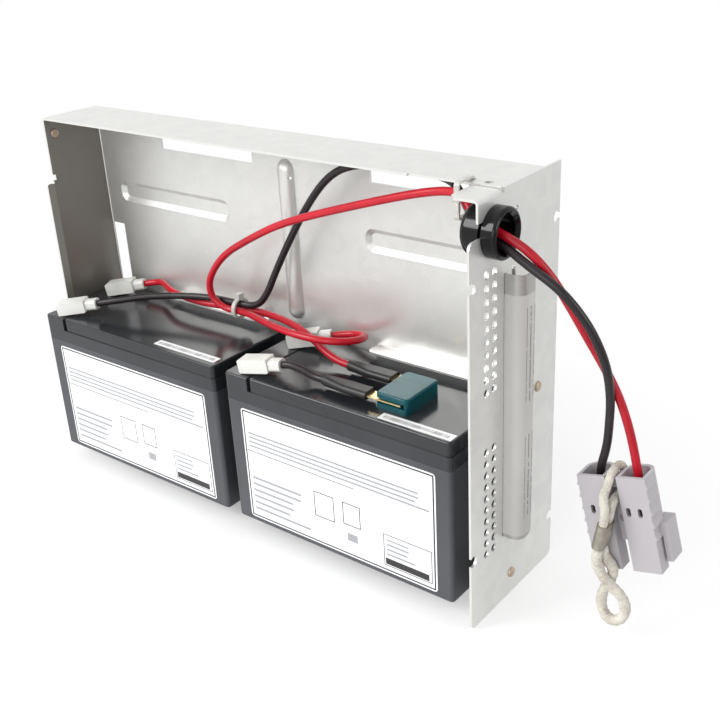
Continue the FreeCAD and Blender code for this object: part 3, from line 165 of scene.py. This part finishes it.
class Net:
    """A material with one Principled shader, and a short way to add nodes to it."""

    def __init__(self, name):
        self.material = bpy.data.materials.new(name)
        self.material.use_nodes = True
        self.tree = self.material.node_tree
        self.shader = self.tree.nodes["Principled BSDF"]

    def plug(self, socket, value):
        if isinstance(value, Value):
            self.tree.links.new(value.socket, socket)
        else:
            socket.default_value = value

    def node(self, kind, inputs=(), output=0, **settings):
        """Adds one node; inputs go by place or by name, output picks the socket that comes back."""
        made = self.tree.nodes.new(kind)
        for key, setting in settings.items():
            setattr(made, key, setting)
        pairs = inputs.items() if isinstance(inputs, dict) else enumerate(inputs)
        for key, value in pairs:
            self.plug(made.inputs[key], value)
        return Value(self, made.outputs[output])

    def place(self):
        return self.node("ShaderNodeTexCoord", output="Object")

    def noise(self, scale, detail=3.0, rough=0.55, where=None):
        place = where or self.place()
        inputs = {"Vector": place, "Scale": scale, "Detail": detail, "Roughness": rough}
        return self.node("ShaderNodeTexNoise", inputs)

    def stretched(self, scale):
        return self.node("ShaderNodeVectorMath", (self.place(), scale), operation="MULTIPLY")

    def cells(self, scale, output="Color"):
        inputs = {"Vector": self.place(), "Scale": scale}
        return self.node("ShaderNodeTexVoronoi", inputs, output=output)

    def grey(self, color):
        return self.node("ShaderNodeSeparateColor", (color,))

    def axes(self, place):
        split = self.tree.nodes.new("ShaderNodeSeparateXYZ")
        self.plug(split.inputs[0], place)
        return [Value(self, socket) for socket in split.outputs]

    def mix(self, share, first, second):
        """The first colour where share is 0, the second where it is 1."""
        made = self.tree.nodes.new("ShaderNodeMix")
        made.data_type = "RGBA"
        for key, value in ((0, share), (6, first), (7, second)):
            if isinstance(value, tuple) and len(value) == 3:
                value = (*value, 1.0)
            self.plug(made.inputs[key], value)
        return Value(self, made.outputs[2])

    def bump(self, height, depth, strength=1.0):
        inputs = {"Height": height, "Distance": depth, "Strength": strength}
        return self.node("ShaderNodeBump", inputs)

    def finish(self, **inputs):
        """Sets the Principled shader's inputs and gives the material."""
        for key, value in inputs.items():
            if isinstance(value, tuple) and len(value) == 3:
                value = (*value, 1.0)
            socket = key.replace("_", " ").title().replace("Ior", "IOR")
            self.plug(self.shader.inputs[socket], value)
        return self.material


# ---- world and floor ----------------------------------------------------------------------------


def make_world():
    """White behind the part; a softer grey room, darker to the right, lights it."""
    world = bpy.data.worlds.new("studio")
    scene.world = world
    world.use_nodes = True
    tree = world.node_tree
    tree.nodes.clear()

    def add(kind, **settings):
        made = tree.nodes.new(kind)
        for key, setting in settings.items():
            setattr(made, key, setting)
        return made

    path = add("ShaderNodeLightPath")
    direction = add("ShaderNodeTexCoord")
    split = add("ShaderNodeSeparateXYZ")
    tree.links.new(direction.outputs["Generated"], split.inputs[0])
    ramp = add("ShaderNodeMapRange", interpolation_type="SMOOTHSTEP")
    tree.links.new(split.outputs[0], ramp.inputs["Value"])
    for key, value in (("From Min", 0.15), ("From Max", 0.95), ("To Min", 0.95), ("To Max", 0.52)):
        ramp.inputs[key].default_value = value
    room = add("ShaderNodeBackground")
    tree.links.new(ramp.outputs[0], room.inputs["Strength"])
    room.inputs["Color"].default_value = (1.0, 1.0, 1.0, 1.0)
    backdrop = add("ShaderNodeBackground")
    backdrop.inputs["Color"].default_value = (1.0, 1.0, 1.0, 1.0)
    backdrop.inputs["Strength"].default_value = 1.0
    mix = add("ShaderNodeMixShader")
    tree.links.new(path.outputs["Is Camera Ray"], mix.inputs[0])
    tree.links.new(room.outputs[0], mix.inputs[1])
    tree.links.new(backdrop.outputs[0], mix.inputs[2])
    out = add("ShaderNodeOutputWorld")
    tree.links.new(mix.outputs[0], out.inputs[0])


make_world()


def link(piece):
    scene.collection.objects.link(piece)
    return piece


def mesh_piece(name, points, faces, material, smooth=True):
    """A mesh piece from arrays of points and faces."""
    mesh = bpy.data.meshes.new(name)
    mesh.from_pydata(np.asarray(points).tolist(), [], list(faces))
    mesh.materials.append(material)
    mesh.polygons.foreach_set("use_smooth", [smooth] * len(mesh.polygons))
    mesh.update()
    return link(bpy.data.objects.new(name, mesh))


def floor_material():
    net = Net("pale_floor")
    x, y, _ = net.axes(net.place())
    far = (x * x + y * y).root()
    grain = net.noise(60.0)
    color = net.mix(grain * 0.4, (0.93, 0.93, 0.93), (0.96, 0.96, 0.96))
    return net.finish(base_color=color, roughness=0.8, alpha=0.7 - far.ramp(0.10, 0.30) * 0.7)


FLOOR_REACH = 1.2
FLOOR_LEVEL = -0.2 * MM
FLOOR_TURNS = ((-1, -1), (1, -1), (1, 1), (-1, 1))
floor = mesh_piece(
    "floor",
    [(x * FLOOR_REACH, y * FLOOR_REACH, FLOOR_LEVEL) for x, y in FLOOR_TURNS],
    [(0, 1, 2, 3)],
    floor_material(),
    smooth=False,
)


# ---- leads and pull cord ------------------------------------------------------------------------

WIRE = 4.2 * MM
ROPE = 4.4 * MM
BLADE_ACROSS, BLADE_LEVEL = 14.0, 98.6
BOOT_LIFT, BOOT_REACH, BOOT_WIRE = 9.0, 20.8, 5.0
HOUSING_TILT, CRIMP_TILT = -14.3, 9.6
STRAND_OFFSET = 2.5
POLE_OFFSET = 10.2


def curve_along(name, points, radius):
    """A NURBS curve with the route's points as its control points."""
    curve = bpy.data.curves.new(name, "CURVE")
    curve.dimensions = "3D"
    curve.resolution_u = 10
    spline = curve.splines.new("NURBS")
    spline.points.add(len(points) - 1)
    spline.points.foreach_set("co", np.column_stack([points, np.ones(len(points))]).ravel())
    spline.order_u = 3
    spline.use_endpoint_u = True
    curve.bevel_depth = radius
    curve.bevel_resolution = 5
    curve.use_fill_caps = True
    return link(bpy.data.objects.new(name, curve))


def seen_from(place, points):
    """Turning points given from one of the pieces that the wire passes."""
    return [place + np.array(point, dtype=float) for point in points]


def lean(x, z, angle):
    """A point's x and z after a turn of angle degrees about the y axis."""
    turn = math.radians(angle)
    return x * math.cos(turn) + z * math.sin(turn), z * math.cos(turn) - x * math.sin(turn)


def boot_exit(corner, depth, yaw):
    """Where a wire leaves a boot that stands on the lid, turned by yaw and lifted a little."""
    yaw, lift = math.radians(yaw), math.radians(BOOT_LIFT)
    level = math.cos(lift)
    ahead = np.array([math.cos(yaw) * level, math.sin(yaw) * level, math.sin(lift)])
    stand = corner + np.array([BLADE_ACROSS, depth, BLADE_LEVEL])
    return [stand + ahead * run for run in (BOOT_REACH, BOOT_REACH + BOOT_WIRE)]


def housing_point(x, y, z):
    """A point counted from the middle of the connector's cable end, in the connector's own axes."""
    x, z = lean(x, z, HOUSING_TILT)
    return HOUSING + np.array([x, y, z])


def crimp_point(side, level):
    """A point on one of the crimp's two strands, level up from its lower end."""
    x, z = lean(0.0, level, CRIMP_TILT)
    return CRIMP + np.array([x, side * STRAND_OFFSET, z])


BLACK_LEAD = [
    *boot_exit(LEFT_CORNER, 7, 28),
    *seen_from(
        LEFT_CORNER,
        [
            (46, 23.6, 104.4), (60, 32.5, 106.8), (80, 42, 108.2), (104, 49, 109.6),
            (127, 49, 110.1), (141, 50, 111), (150, 50, 121), (158, 50, 136),
            (172, 49, 158),
        ],
    ),
    *seen_from(
        BUSHING,
        [
            (-133.3, 28.2, -14.5), (-116.3, 26.2, 3.5), (-99.3, 25.7, 12), (-76.3, 24.7, 14.2),
            (-53.3, 23.2, 14.5), (-36.3, 19.8, 14.1), (-27.3, 13.8, 11.5), (-20.3, 8.2, 7.7),
            (-12.8, 4, 1.9), (-4.8, 0.4, -3.5), (5.2, -0.1, -5.8), (18, -0.9, -12.8),
            (31.6, 0.6, -20.6), (40.3, 3.5, -30.8), (46.3, 7.1, -42.2), (50.7, 12.1, -58.2),
        ],
    ),
    *seen_from(HOUSING, [(-2.2, -6.5, 40.8), (-3.9, -2.8, 24.8), (-5.6, -0.3, 10.8)]),
    housing_point(-POLE_OFFSET, 0.6, -2.0),
    housing_point(-POLE_OFFSET, 0.6, -10.0),
]
RED_LEAD = [
    *boot_exit(RIGHT_CORNER, 47, 25),
    *seen_from(
        RIGHT_CORNER,
        [
            (47.5, 60.3, 104.6), (57, 56, 107), (61.5, 46.5, 109.4), (57, 36, 111),
            (46.5, 29.5, 112), (32, 27.6, 112.4), (16, 30, 111.8), (0, 35.5, 110.3),
        ],
    ),
    *seen_from(
        LEFT_CORNER,
        [
            (141, 43, 108.5), (127, 46.8, 106.1), (117.5, 45.4, 106.4), (110, 43.6, 111.5),
            (109, 42.4, 120.5), (113.5, 42, 130), (126, 41.4, 143.5), (150, 38, 157.5),
        ],
    ),
    *seen_from(
        BUSHING,
        [
            (-143.3, 16.2, -23.5), (-108.3, 13.2, -11), (-73.3, 10.7, 0.5), (-48.3, 9.8, 8.1),
            (-32.3, 9.2, 11.7), (-21.3, 5.8, 12.9), (-14.3, 2.2, 7.5), (-7.5, 0.2, 2.6),
            (5.2, 0.1, -1), (16.6, 1.6, -6.8), (25.8, 6, -18.6), (33.2, 11.5, -34.8),
            (39.1, 15.7, -48.3), (45.6, 19.9, -62.2),
        ],
    ),
    *seen_from(HOUSING, [(-0.4, -2, 40), (4.2, -0.9, 27), (7.6, -0.2, 14.4)]),
    housing_point(POLE_OFFSET, 0.6, -2.0),
    housing_point(POLE_OFFSET, 0.6, -10.0),
]
RED_LINK = [
    *boot_exit(LEFT_CORNER, 47, 28),
    *seen_from(
        LEFT_CORNER,
        [
            (44, 60.6, 104.2), (53, 56.4, 105.2), (64, 51, 105), (80, 48.6, 104.4),
            (96, 48.8, 104.2), (113, 50.6, 104.9), (127, 51.2, 106), (141, 51.8, 106.8),
        ],
    ),
    *seen_from(
        RIGHT_CORNER,
        [
            (-2, 49.5, 107.6), (16, 45, 107.6), (33, 39.6, 105.2), (44.5, 36.2, 101.4),
            (54.5, 35.5, 98.45), (61.5, 35.5, 98.45),
        ],
    ),
]
PULL_CORD = [
    crimp_point(1, 8.5),
    crimp_point(1, 20.5),
    housing_point(-0.3, -8.6, -12.2),
    housing_point(0, 0, -11),
    housing_point(0, 6.0, -9.5),
    housing_point(0, 7.0, -3.0),
    housing_point(0, 4.0, 1.6),
    housing_point(0, -3.8, 1.6),
    housing_point(-0.3, -9.2, -2.0),
    housing_point(-2.5, -14.2, -8.6),
    crimp_point(-1, 20.5),
    crimp_point(-1, -4.5),
    *seen_from(
        HOUSING,
        [
            (0.4, -16, -47.6), (5.8, -14.6, -55), (12.2, -13, -60.1), (14.4, -11.8, -69.1),
            (11, -11.2, -77), (5, -10.8, -79), (0.2, -10.2, -73.4), (0.4, -9.6, -64.1),
            (4.6, -9.8, -55.6), (6.6, -11.2, -47.1),
        ],
    ),
    crimp_point(1, -5.7),
    crimp_point(1, 7.0),
]


def insulation(name, color, sheen):
    """Extruded wire covering: soft gloss, faint clouding and small scuffs."""
    net = Net(name)
    scuff = net.noise(420.0, 4.0)
    cloud = net.noise(38.0, 2.0)
    darker = tuple(c * 0.72 for c in color)
    return net.finish(
        base_color=net.mix(cloud.ramp(0.35, 0.7), color, darker),
        roughness=scuff * 0.16 + sheen,
        specular_ior_level=0.4,
        normal=net.bump(scuff, 0.00006, 0.5),
    )


def spline_line(piece):
    """The points of a curve's own line and its length, read with its bevel taken off."""
    bare = piece.copy()
    bare.data = piece.data.copy()
    bare.data.bevel_depth = 0.0
    mesh = bpy.data.meshes.new_from_object(bare)
    points = np.zeros(len(mesh.vertices) * 3)
    mesh.vertices.foreach_get("co", points)
    points = points.reshape(-1, 3)
    bpy.data.objects.remove(bare)
    return points, float(np.linalg.norm(np.diff(points, axis=0), axis=1).sum())


def add_wire(node, route, material):
    points = np.array(route) * MM
    piece = curve_along(f"{node}_wire", points, WIRE / 2)
    piece.data.materials.append(material)
    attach(piece, "root")
    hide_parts(node)
    spline_line(piece)[1]


red_cover = insulation("red_wire_cover", (0.52, 0.006, 0.02), 0.22)
black_cover = insulation("black_wire_cover", (0.020, 0.014, 0.017), 0.26)
add_wire(
    "black_lead",
    BLACK_LEAD,
    black_cover,
)
add_wire("red_lead", RED_LEAD, red_cover)
add_wire("red_link", RED_LINK, red_cover)


def tube_frames(path):
    """Two unit vectors across the path at each of its points, carried along without twist."""
    along = np.gradient(path, axis=0)
    along /= np.linalg.norm(along, axis=1, keepdims=True)
    across = np.zeros_like(path)
    side = np.cross(along[0], (0.0, 0.0, 1.0))
    side = np.cross(along[0], (1.0, 0.0, 0.0)) if np.linalg.norm(side) < 0.1 else side
    for place, ahead in enumerate(along):
        side = side - ahead * (side @ ahead)
        side /= np.linalg.norm(side)
        across[place] = side
    return across, np.cross(along, across)


def even_path(points, spacing):
    """The same line with points a fixed spacing apart."""
    runs = np.linalg.norm(np.diff(points, axis=0), axis=1)
    reach = np.concatenate([[0.0], np.cumsum(runs)])
    wanted = np.linspace(0.0, reach[-1], max(2, round(reach[-1] / spacing)))
    return np.column_stack([np.interp(wanted, reach, points[:, axis]) for axis in range(3)]), wanted


def tube_faces(rings, around):
    """Quads between neighbouring rings of a closed tube, and a fan at each end."""
    ring, step = np.meshgrid(np.arange(rings - 1), np.arange(around), indexing="ij")
    low, turn = ring * around, (step + 1) % around
    quads = np.stack([low + step, low + turn, low + around + turn, low + around + step], axis=-1)
    faces = quads.reshape(-1, 4).tolist()
    faces.append(list(range(around))[::-1])
    faces.append(list(range((rings - 1) * around, rings * around)))
    return faces


def braid_radius(distance, angle, radius):
    """Two sets of strands cross, and the higher ridge shows.

    With t = 2 pi distance / (3.4 radius), the ridge is the larger of |sin(4 angle + t)| and
    |sin(4 angle - t)|, and a small product of faster sines stands for loose fibres.
    """
    turns = 2 * math.pi * distance / (3.4 * radius)
    ridge = np.maximum(np.abs(np.sin(4 * angle + turns)), np.abs(np.sin(4 * angle - turns)))
    fluff = np.sin(9.0 * angle + 5.3 * turns) * np.sin(2.7 * turns - 3.0 * angle)
    return radius * (0.84 + 0.13 * ridge + 0.03 * fluff)


def swelling(path):
    """How far the cord fills out: 0 down to the crimp's lower end, 1 from 4 mm below it."""
    below = (CRIMP[2] * MM - path[:, 2]) / (4.0 * MM)
    return np.clip(below, 0.0, 1.0)


def braid_material():
    net = Net("braided_cotton")
    fibre = net.noise(1500.0, 5.0, 0.7)
    cloud = net.noise(150.0, 3.0)
    share = (fibre * 0.6 + cloud * 0.4).ramp(0.36, 0.6)
    return net.finish(
        base_color=net.mix(share, (0.44, 0.40, 0.33), (0.74, 0.71, 0.64)),
        roughness=0.95,
        specular_ior_level=0.1,
        normal=net.bump(fibre, 0.0005, 0.9),
    )


def add_pull_cord():
    """A braided cord: a tube on the route's own spline whose skin is the crossing strands.

    Below the crimp each radius gains 0.5 mm and lumps of 0.22 mm x sin(distance / 0.9 mm) x
    cos(2 angle + distance / 1.7 mm).
    """
    radius = ROPE / 2
    route = np.array(PULL_CORD) * MM
    guide = curve_along("pull_cord_guide", route, radius)
    line, _ = spline_line(guide)
    bpy.data.objects.remove(guide)
    path, distance = even_path(line, 0.35 * MM)
    across, over = tube_frames(path)
    angle = np.linspace(0.0, 2 * math.pi, 36, endpoint=False)
    reach = braid_radius(distance[:, None], angle[None, :], radius)
    run = distance[:, None]
    lumps = np.sin(run / (0.9 * MM)) * np.cos(2 * angle + run / (1.7 * MM))
    reach = (reach + swelling(path)[:, None] * MM * (0.5 + 0.22 * lumps))[..., None]
    turn = angle[None, :, None]
    ring = np.cos(turn) * across[:, None] + np.sin(turn) * over[:, None]
    points = (path[:, None] + ring * reach).reshape(-1, 3)
    faces = tube_faces(len(path), len(angle))
    piece = mesh_piece("pull_cord_braid", points, faces, braid_material())
    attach(piece, "root")
    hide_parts("pull_cord")


add_pull_cord()


# ---- finishes of the CAD pieces -----------------------------------------------------------------


LEFT_WALL = -160.0 * MM


def sheet_steel():
    """Hot-dip zinc on rolled steel: pale crystals, fine rolling lines, soft broad shine.

    The closed end's inner face carries painted shade: a dark base colour on faces turned to +X past
    the left wall.
    """
    net = Net("zinc_coated_sheet")
    crystal = net.grey(net.cells(150.0))
    cloud = net.noise(11.0, 3.0)
    lines = net.noise(1.0, 3.0, where=net.stretched((6.0, 900.0, 900.0)))
    color = net.mix(crystal * 0.35 + cloud * 0.4, (0.80, 0.80, 0.775), (0.70, 0.70, 0.685))
    side, _, _ = net.axes(net.node("ShaderNodeNewGeometry", output="Normal"))
    along, _, _ = net.axes(net.place())
    # Painted shade: faces turned to +X past the left wall take a dark base colour in place of
    # shading from the lights.
    painted_shade_inner_wall = (side > 0.8) * (along < LEFT_WALL)
    return net.finish(
        base_color=net.mix(painted_shade_inner_wall, color, (0.24, 0.225, 0.205)),
        metallic=0.72,
        roughness=crystal * 0.07 + lines * 0.06 + 0.33,
        normal=net.bump(lines, 0.00003, 0.35),
    )


def moulded(name, color, rough, grain=900.0, depth=0.00004, shine=0.5, cloudy=0.25):
    """A moulded plastic with a fine grain, slight unevenness of shine and tone."""
    net = Net(name)
    fine = net.noise(grain, 3.0)
    broad = net.noise(16.0, 3.0)
    lighter = tuple(min(1.0, c * (1 + cloudy) + 0.004) for c in color)
    return net.finish(
        base_color=net.mix(broad.ramp(0.35, 0.7), color, lighter),
        roughness=fine * 0.1 + (broad * 0.08 + rough),
        specular_ior_level=shine,
        normal=net.bump(fine, depth, 0.5),
    )


def clear_plastic(name, color, rough, through, ior=1.46, shine=0.5):
    """A tinted plastic that lets light through."""
    net = Net(name)
    fine = net.noise(500.0, 3.0)
    cloud = net.noise(70.0, 3.0)
    return net.finish(
        base_color=net.mix(cloud.ramp(0.3, 0.75), color, tuple(c * 0.85 for c in color)),
        roughness=fine * 0.12 + rough,
        transmission_weight=through,
        specular_ior_level=shine,
        ior=ior,
        normal=net.bump(cloud, 0.0001, 0.4),
    )


def metal(name, color, rough, grain=260.0):
    net = Net(name)
    stain = net.noise(grain, 4.0)
    return net.finish(
        base_color=net.mix(stain.ramp(0.35, 0.75), color, tuple(c * 0.7 for c in color)),
        metallic=0.95,
        roughness=stain * 0.2 + rough,
        normal=net.bump(stain, 0.00004, 0.4),
    )


def handle_steel():
    """Bent strip: bare metal at its top, below that a pale label with plain grey bars."""
    net = Net("labelled_strip")
    low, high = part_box("pull_handle")
    _, y, z = net.axes(net.place())
    grain = net.noise(500.0)
    field = (z < high[2] - 9.7 * MM) * (z > low[2] + 2.0 * MM)
    middle = (low[2] + high[2]) / 2
    lines = (((y - low[1]) % (3.4 * MM)) < 1.0 * MM) * (y > low[1] + 4.0 * MM)
    upper = (z > middle + 6.0 * MM) * (z < high[2] - 16.0 * MM)
    lower = (z > low[2] + 12.0 * MM) * (z < middle - 12.0 * MM)
    blocks = upper + lower
    marks = (grain > 0.42) * lines * blocks
    label = net.mix(marks * 0.75, (0.56, 0.55, 0.53), (0.12, 0.12, 0.12))
    return net.finish(
        base_color=net.mix(field, net.mix(grain, (0.42, 0.41, 0.39), (0.52, 0.51, 0.49)), label),
        metallic=0.7 - field * 0.65,
        roughness=grain * 0.1 + 0.32,
        normal=net.bump(grain, 0.00002, 0.3),
    )


steel = sheet_steel()
glossy_black = moulded("glossy_black_nylon", (0.003, 0.003, 0.004), 0.04, 300.0, 0.00003, shine=0.3)
case_grey = moulded("case_plastic", (0.052, 0.055, 0.062), 0.34, 1400.0, 0.00005)
lid_black = moulded("lid_plastic", (0.022, 0.024, 0.028), 0.13, 700.0, 0.00003)
cover_black = moulded("vent_cover_plastic", (0.016, 0.018, 0.021), 0.09, 700.0, 0.00002)
boot_white = clear_plastic("milky_boot_nylon", (0.95, 0.95, 0.91), 0.25, 0.25)
fuse_teal = clear_plastic("teal_fuse_plastic", (0.0, 0.16, 0.20), 0.16, 0.6, shine=0.2)
fuse_brass = metal("fuse_brass", (0.80, 0.62, 0.33), 0.22)
tube_black = moulded("shrink_tube", (0.012, 0.012, 0.013), 0.33, 500.0)
connector_grey = moulded(
    "connector_plastic", (0.43, 0.41, 0.43), 0.36, 1500.0, 0.00005, shine=0.35, cloudy=0.06
)
contact_silver = metal("silvered_copper", (0.85, 0.84, 0.8), 0.25)
tin = metal("tinned_brass", (0.83, 0.8, 0.7), 0.25)
rivet_copper = metal("plated_rivet", (0.62, 0.50, 0.38), 0.32)
crimp_tin = metal("bright_crimp", (0.46, 0.42, 0.36), 0.28)
foam = moulded("foam_tape", (0.8, 0.8, 0.77), 0.8, 2200.0, 0.0003)
tie_white = clear_plastic("milky_tie_nylon", (0.74, 0.74, 0.70), 0.3, 0.35)

FINISHES = {
    "tray": steel,
    "front_plate": steel,
    "pull_handle": handle_steel(),
    "rivets": rivet_copper,
    "black_link": black_cover,
    "cable_bushing": glossy_black,
    "fuse_body": fuse_teal,
    "fuse_link": fuse_brass,
    "shrink_sleeve_near": tube_black,
    "shrink_sleeve_far": tube_black,
    "connector_housing": connector_grey,
    "contact_black": contact_silver,
    "contact_red": contact_silver,
    "cord_crimp": crimp_tin,
    "bundle_tie": tie_white,
    "anchor_tie": tie_white,
}
for side in ("left", "right"):
    FINISHES[f"battery_case_{side}"] = case_grey
    FINISHES[f"battery_lid_{side}"] = lid_black
    FINISHES[f"vent_cover_{side}"] = cover_black
    FINISHES[f"adhesive_pad_{side}"] = foam
    for row in ("near", "far"):
        FINISHES[f"blade_{side}_{row}"] = tin
        FINISHES[f"boot_{side}_{row}"] = boot_white
for node, material in FINISHES.items():
    for place in nodes[node].material_slots:
        place.material = material


# ---- printed labels -----------------------------------------------------------------------------


def label_sheet(name, origin, across, up, width, height, corner, material, thickness=0.12 * MM):
    """A thin printed sheet: a rounded rectangle with an edge and a flat map in millimetres."""
    turns = np.linspace(0.0, math.pi / 2, 7)
    arc = np.stack([np.cos(turns), np.sin(turns)], axis=1) * corner
    far, top = width - corner, height - corner
    middles = [(far, top), (corner, top), (corner, corner), (far, corner)]
    quarters = [(math.cos(a), math.sin(a)) for a in np.arange(4) * math.pi / 2]
    spins = [np.array([[c, -s], [s, c]]) for c, s in quarters]
    rim = np.concatenate([arc @ spin.T + middle for spin, middle in zip(spins, middles)])
    across, up = np.array(across, float), np.array(up, float)
    out = np.cross(across, up)
    flat = np.array(origin) + rim[:, :1] * across + rim[:, 1:] * up
    count = len(rim)
    points = np.concatenate([flat, flat + out * thickness])
    place = np.arange(count)
    after = (place + 1) % count
    faces = np.stack([place, after, after + count, place + count], axis=1).tolist()
    faces += [list(range(count))[::-1], list(range(count, 2 * count))]
    piece = mesh_piece(name, points, faces, material, smooth=False)
    layer = piece.data.uv_layers.new(name="print_mm")
    corners = np.zeros(len(piece.data.loops), dtype=int)
    piece.data.loops.foreach_get("vertex_index", corners)
    layer.data.foreach_set("uv", (np.concatenate([rim, rim])[corners] / MM).ravel())
    return piece


ROW_STEP, ROW_SPREAD = 12.9898, 43.7  # spread the rows' lengths unevenly


class Print(Net):
    """A label's ink on paper, laid out in millimetres from its lower left corner."""

    def __init__(self, name):
        super().__init__(name)
        uv = self.node("ShaderNodeUVMap", output=0, uv_map="print_mm")
        self.u, self.v, _ = self.axes(uv)
        self.color = None

    def block(self, left, low, right, high):
        return (self.u > left) * (self.u < right) * (self.v > low) * (self.v < high)

    def outline(self, left, low, right, high, line):
        inside = self.block(left + line, low + line, right - line, high - line)
        return self.block(left, low, right, high) * (1.0 - inside)

    def rows(self, left, low, right, high, pitch, line, ragged):
        """Plain bars one above another, each ending at its own length."""
        row = ((self.v - low) / pitch).floor()
        length = (row * ROW_STEP).sine() * ROW_SPREAD
        length = length - length.floor()
        end = right - length * ragged
        bar = ((self.v - low) % pitch) < line
        return bar * self.block(left, low, right, high) * (self.u < end)

    def ink(self, share, color):
        self.color = self.mix(share, self.color, color)


def battery_print(name, width, height):
    paper = Print(name)
    grain = paper.noise(700.0)
    paper.color = paper.mix(grain * 0.5, (0.86, 0.87, 0.88), (0.90, 0.91, 0.92))
    black, grey = (0.02, 0.02, 0.02), (0.34, 0.35, 0.37)
    paper.ink(paper.outline(0.9, 0.9, width - 0.9, height - 0.9, 0.9), black)
    paper.ink(paper.rows(4, 47.5, width - 4, 58.5, 2.75, 1.15, 9), grey)
    paper.ink(paper.block(2, 44.4, width * 0.60, 44.9), black)
    paper.ink(paper.rows(4, 6, 46, 30, 4.1, 1.5, 16), grey)
    paper.ink(paper.outline(50, 18, 64, 34, 0.6), black)
    paper.ink(paper.outline(70, 20, 82, 34, 0.6), black)
    paper.ink(paper.block(72.5, 10, 79.5, 15), grey)
    paper.ink(paper.outline(97, 4, width - 3, 24, 0.5), black)
    paper.ink(paper.rows(99, 11, width - 14, 21, 3.0, 1.2, 5), grey)
    paper.ink(paper.block(98, 5, width - 5, 9), black)
    return paper.finish(base_color=paper.color, roughness=grain * 0.1 + 0.3)


def strip_print(name, width):
    """A narrow label with upright bars of uneven width."""
    paper = Print(name)
    grain = paper.noise(700.0)
    paper.color = paper.mix(grain * 0.5, (0.84, 0.85, 0.86), (0.9, 0.9, 0.9))
    wave = (paper.u * 5.1).sine() + (paper.u * 8.7).sine() + (paper.u * 13.3).sine()
    bars = (wave > 0.25) * paper.block(2, 1.6, width - 2, 4.4)
    paper.ink(bars, (0.03, 0.03, 0.03))
    return paper.finish(base_color=paper.color, roughness=0.35)


def dress(piece):
    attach(piece, "root")
    return piece


X, Y, Z = (1.0, 0.0, 0.0), (0.0, 1.0, 0.0), (0.0, 0.0, 1.0)
LABEL_WIDTH, LABEL_HEIGHT = 131.0, 71.0
LABEL_PLACE = np.array([10.5, 0.0, 3.4]) * MM
STRIP_HEIGHT = 6.2
STRIPS = {"left": (97.0, 5.0, 50.0), "right": (105.0, 2.6, 44.0)}  # x, y and width in mm
front_print = battery_print("battery_label_print", LABEL_WIDTH, LABEL_HEIGHT)
for side in ("left", "right"):
    low = np.array(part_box(f"battery_case_{side}")[0])
    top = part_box(f"vent_cover_{side}")[1][2]
    dress(
        label_sheet(
            f"battery_label_{side}",
            low + LABEL_PLACE,
            X,
            Z,
            LABEL_WIDTH * MM,
            LABEL_HEIGHT * MM,
            2.0 * MM,
            front_print,
        ),
    )
    across, depth, width = STRIPS[side]
    dress(
        label_sheet(
            f"bar_strip_{side}",
            (low[0] + across * MM, low[1] + depth * MM, top),
            X,
            Y,
            width * MM,
            STRIP_HEIGHT * MM,
            0.4 * MM,
            strip_print(f"bar_strip_print_{side}", width),
        ),
    )
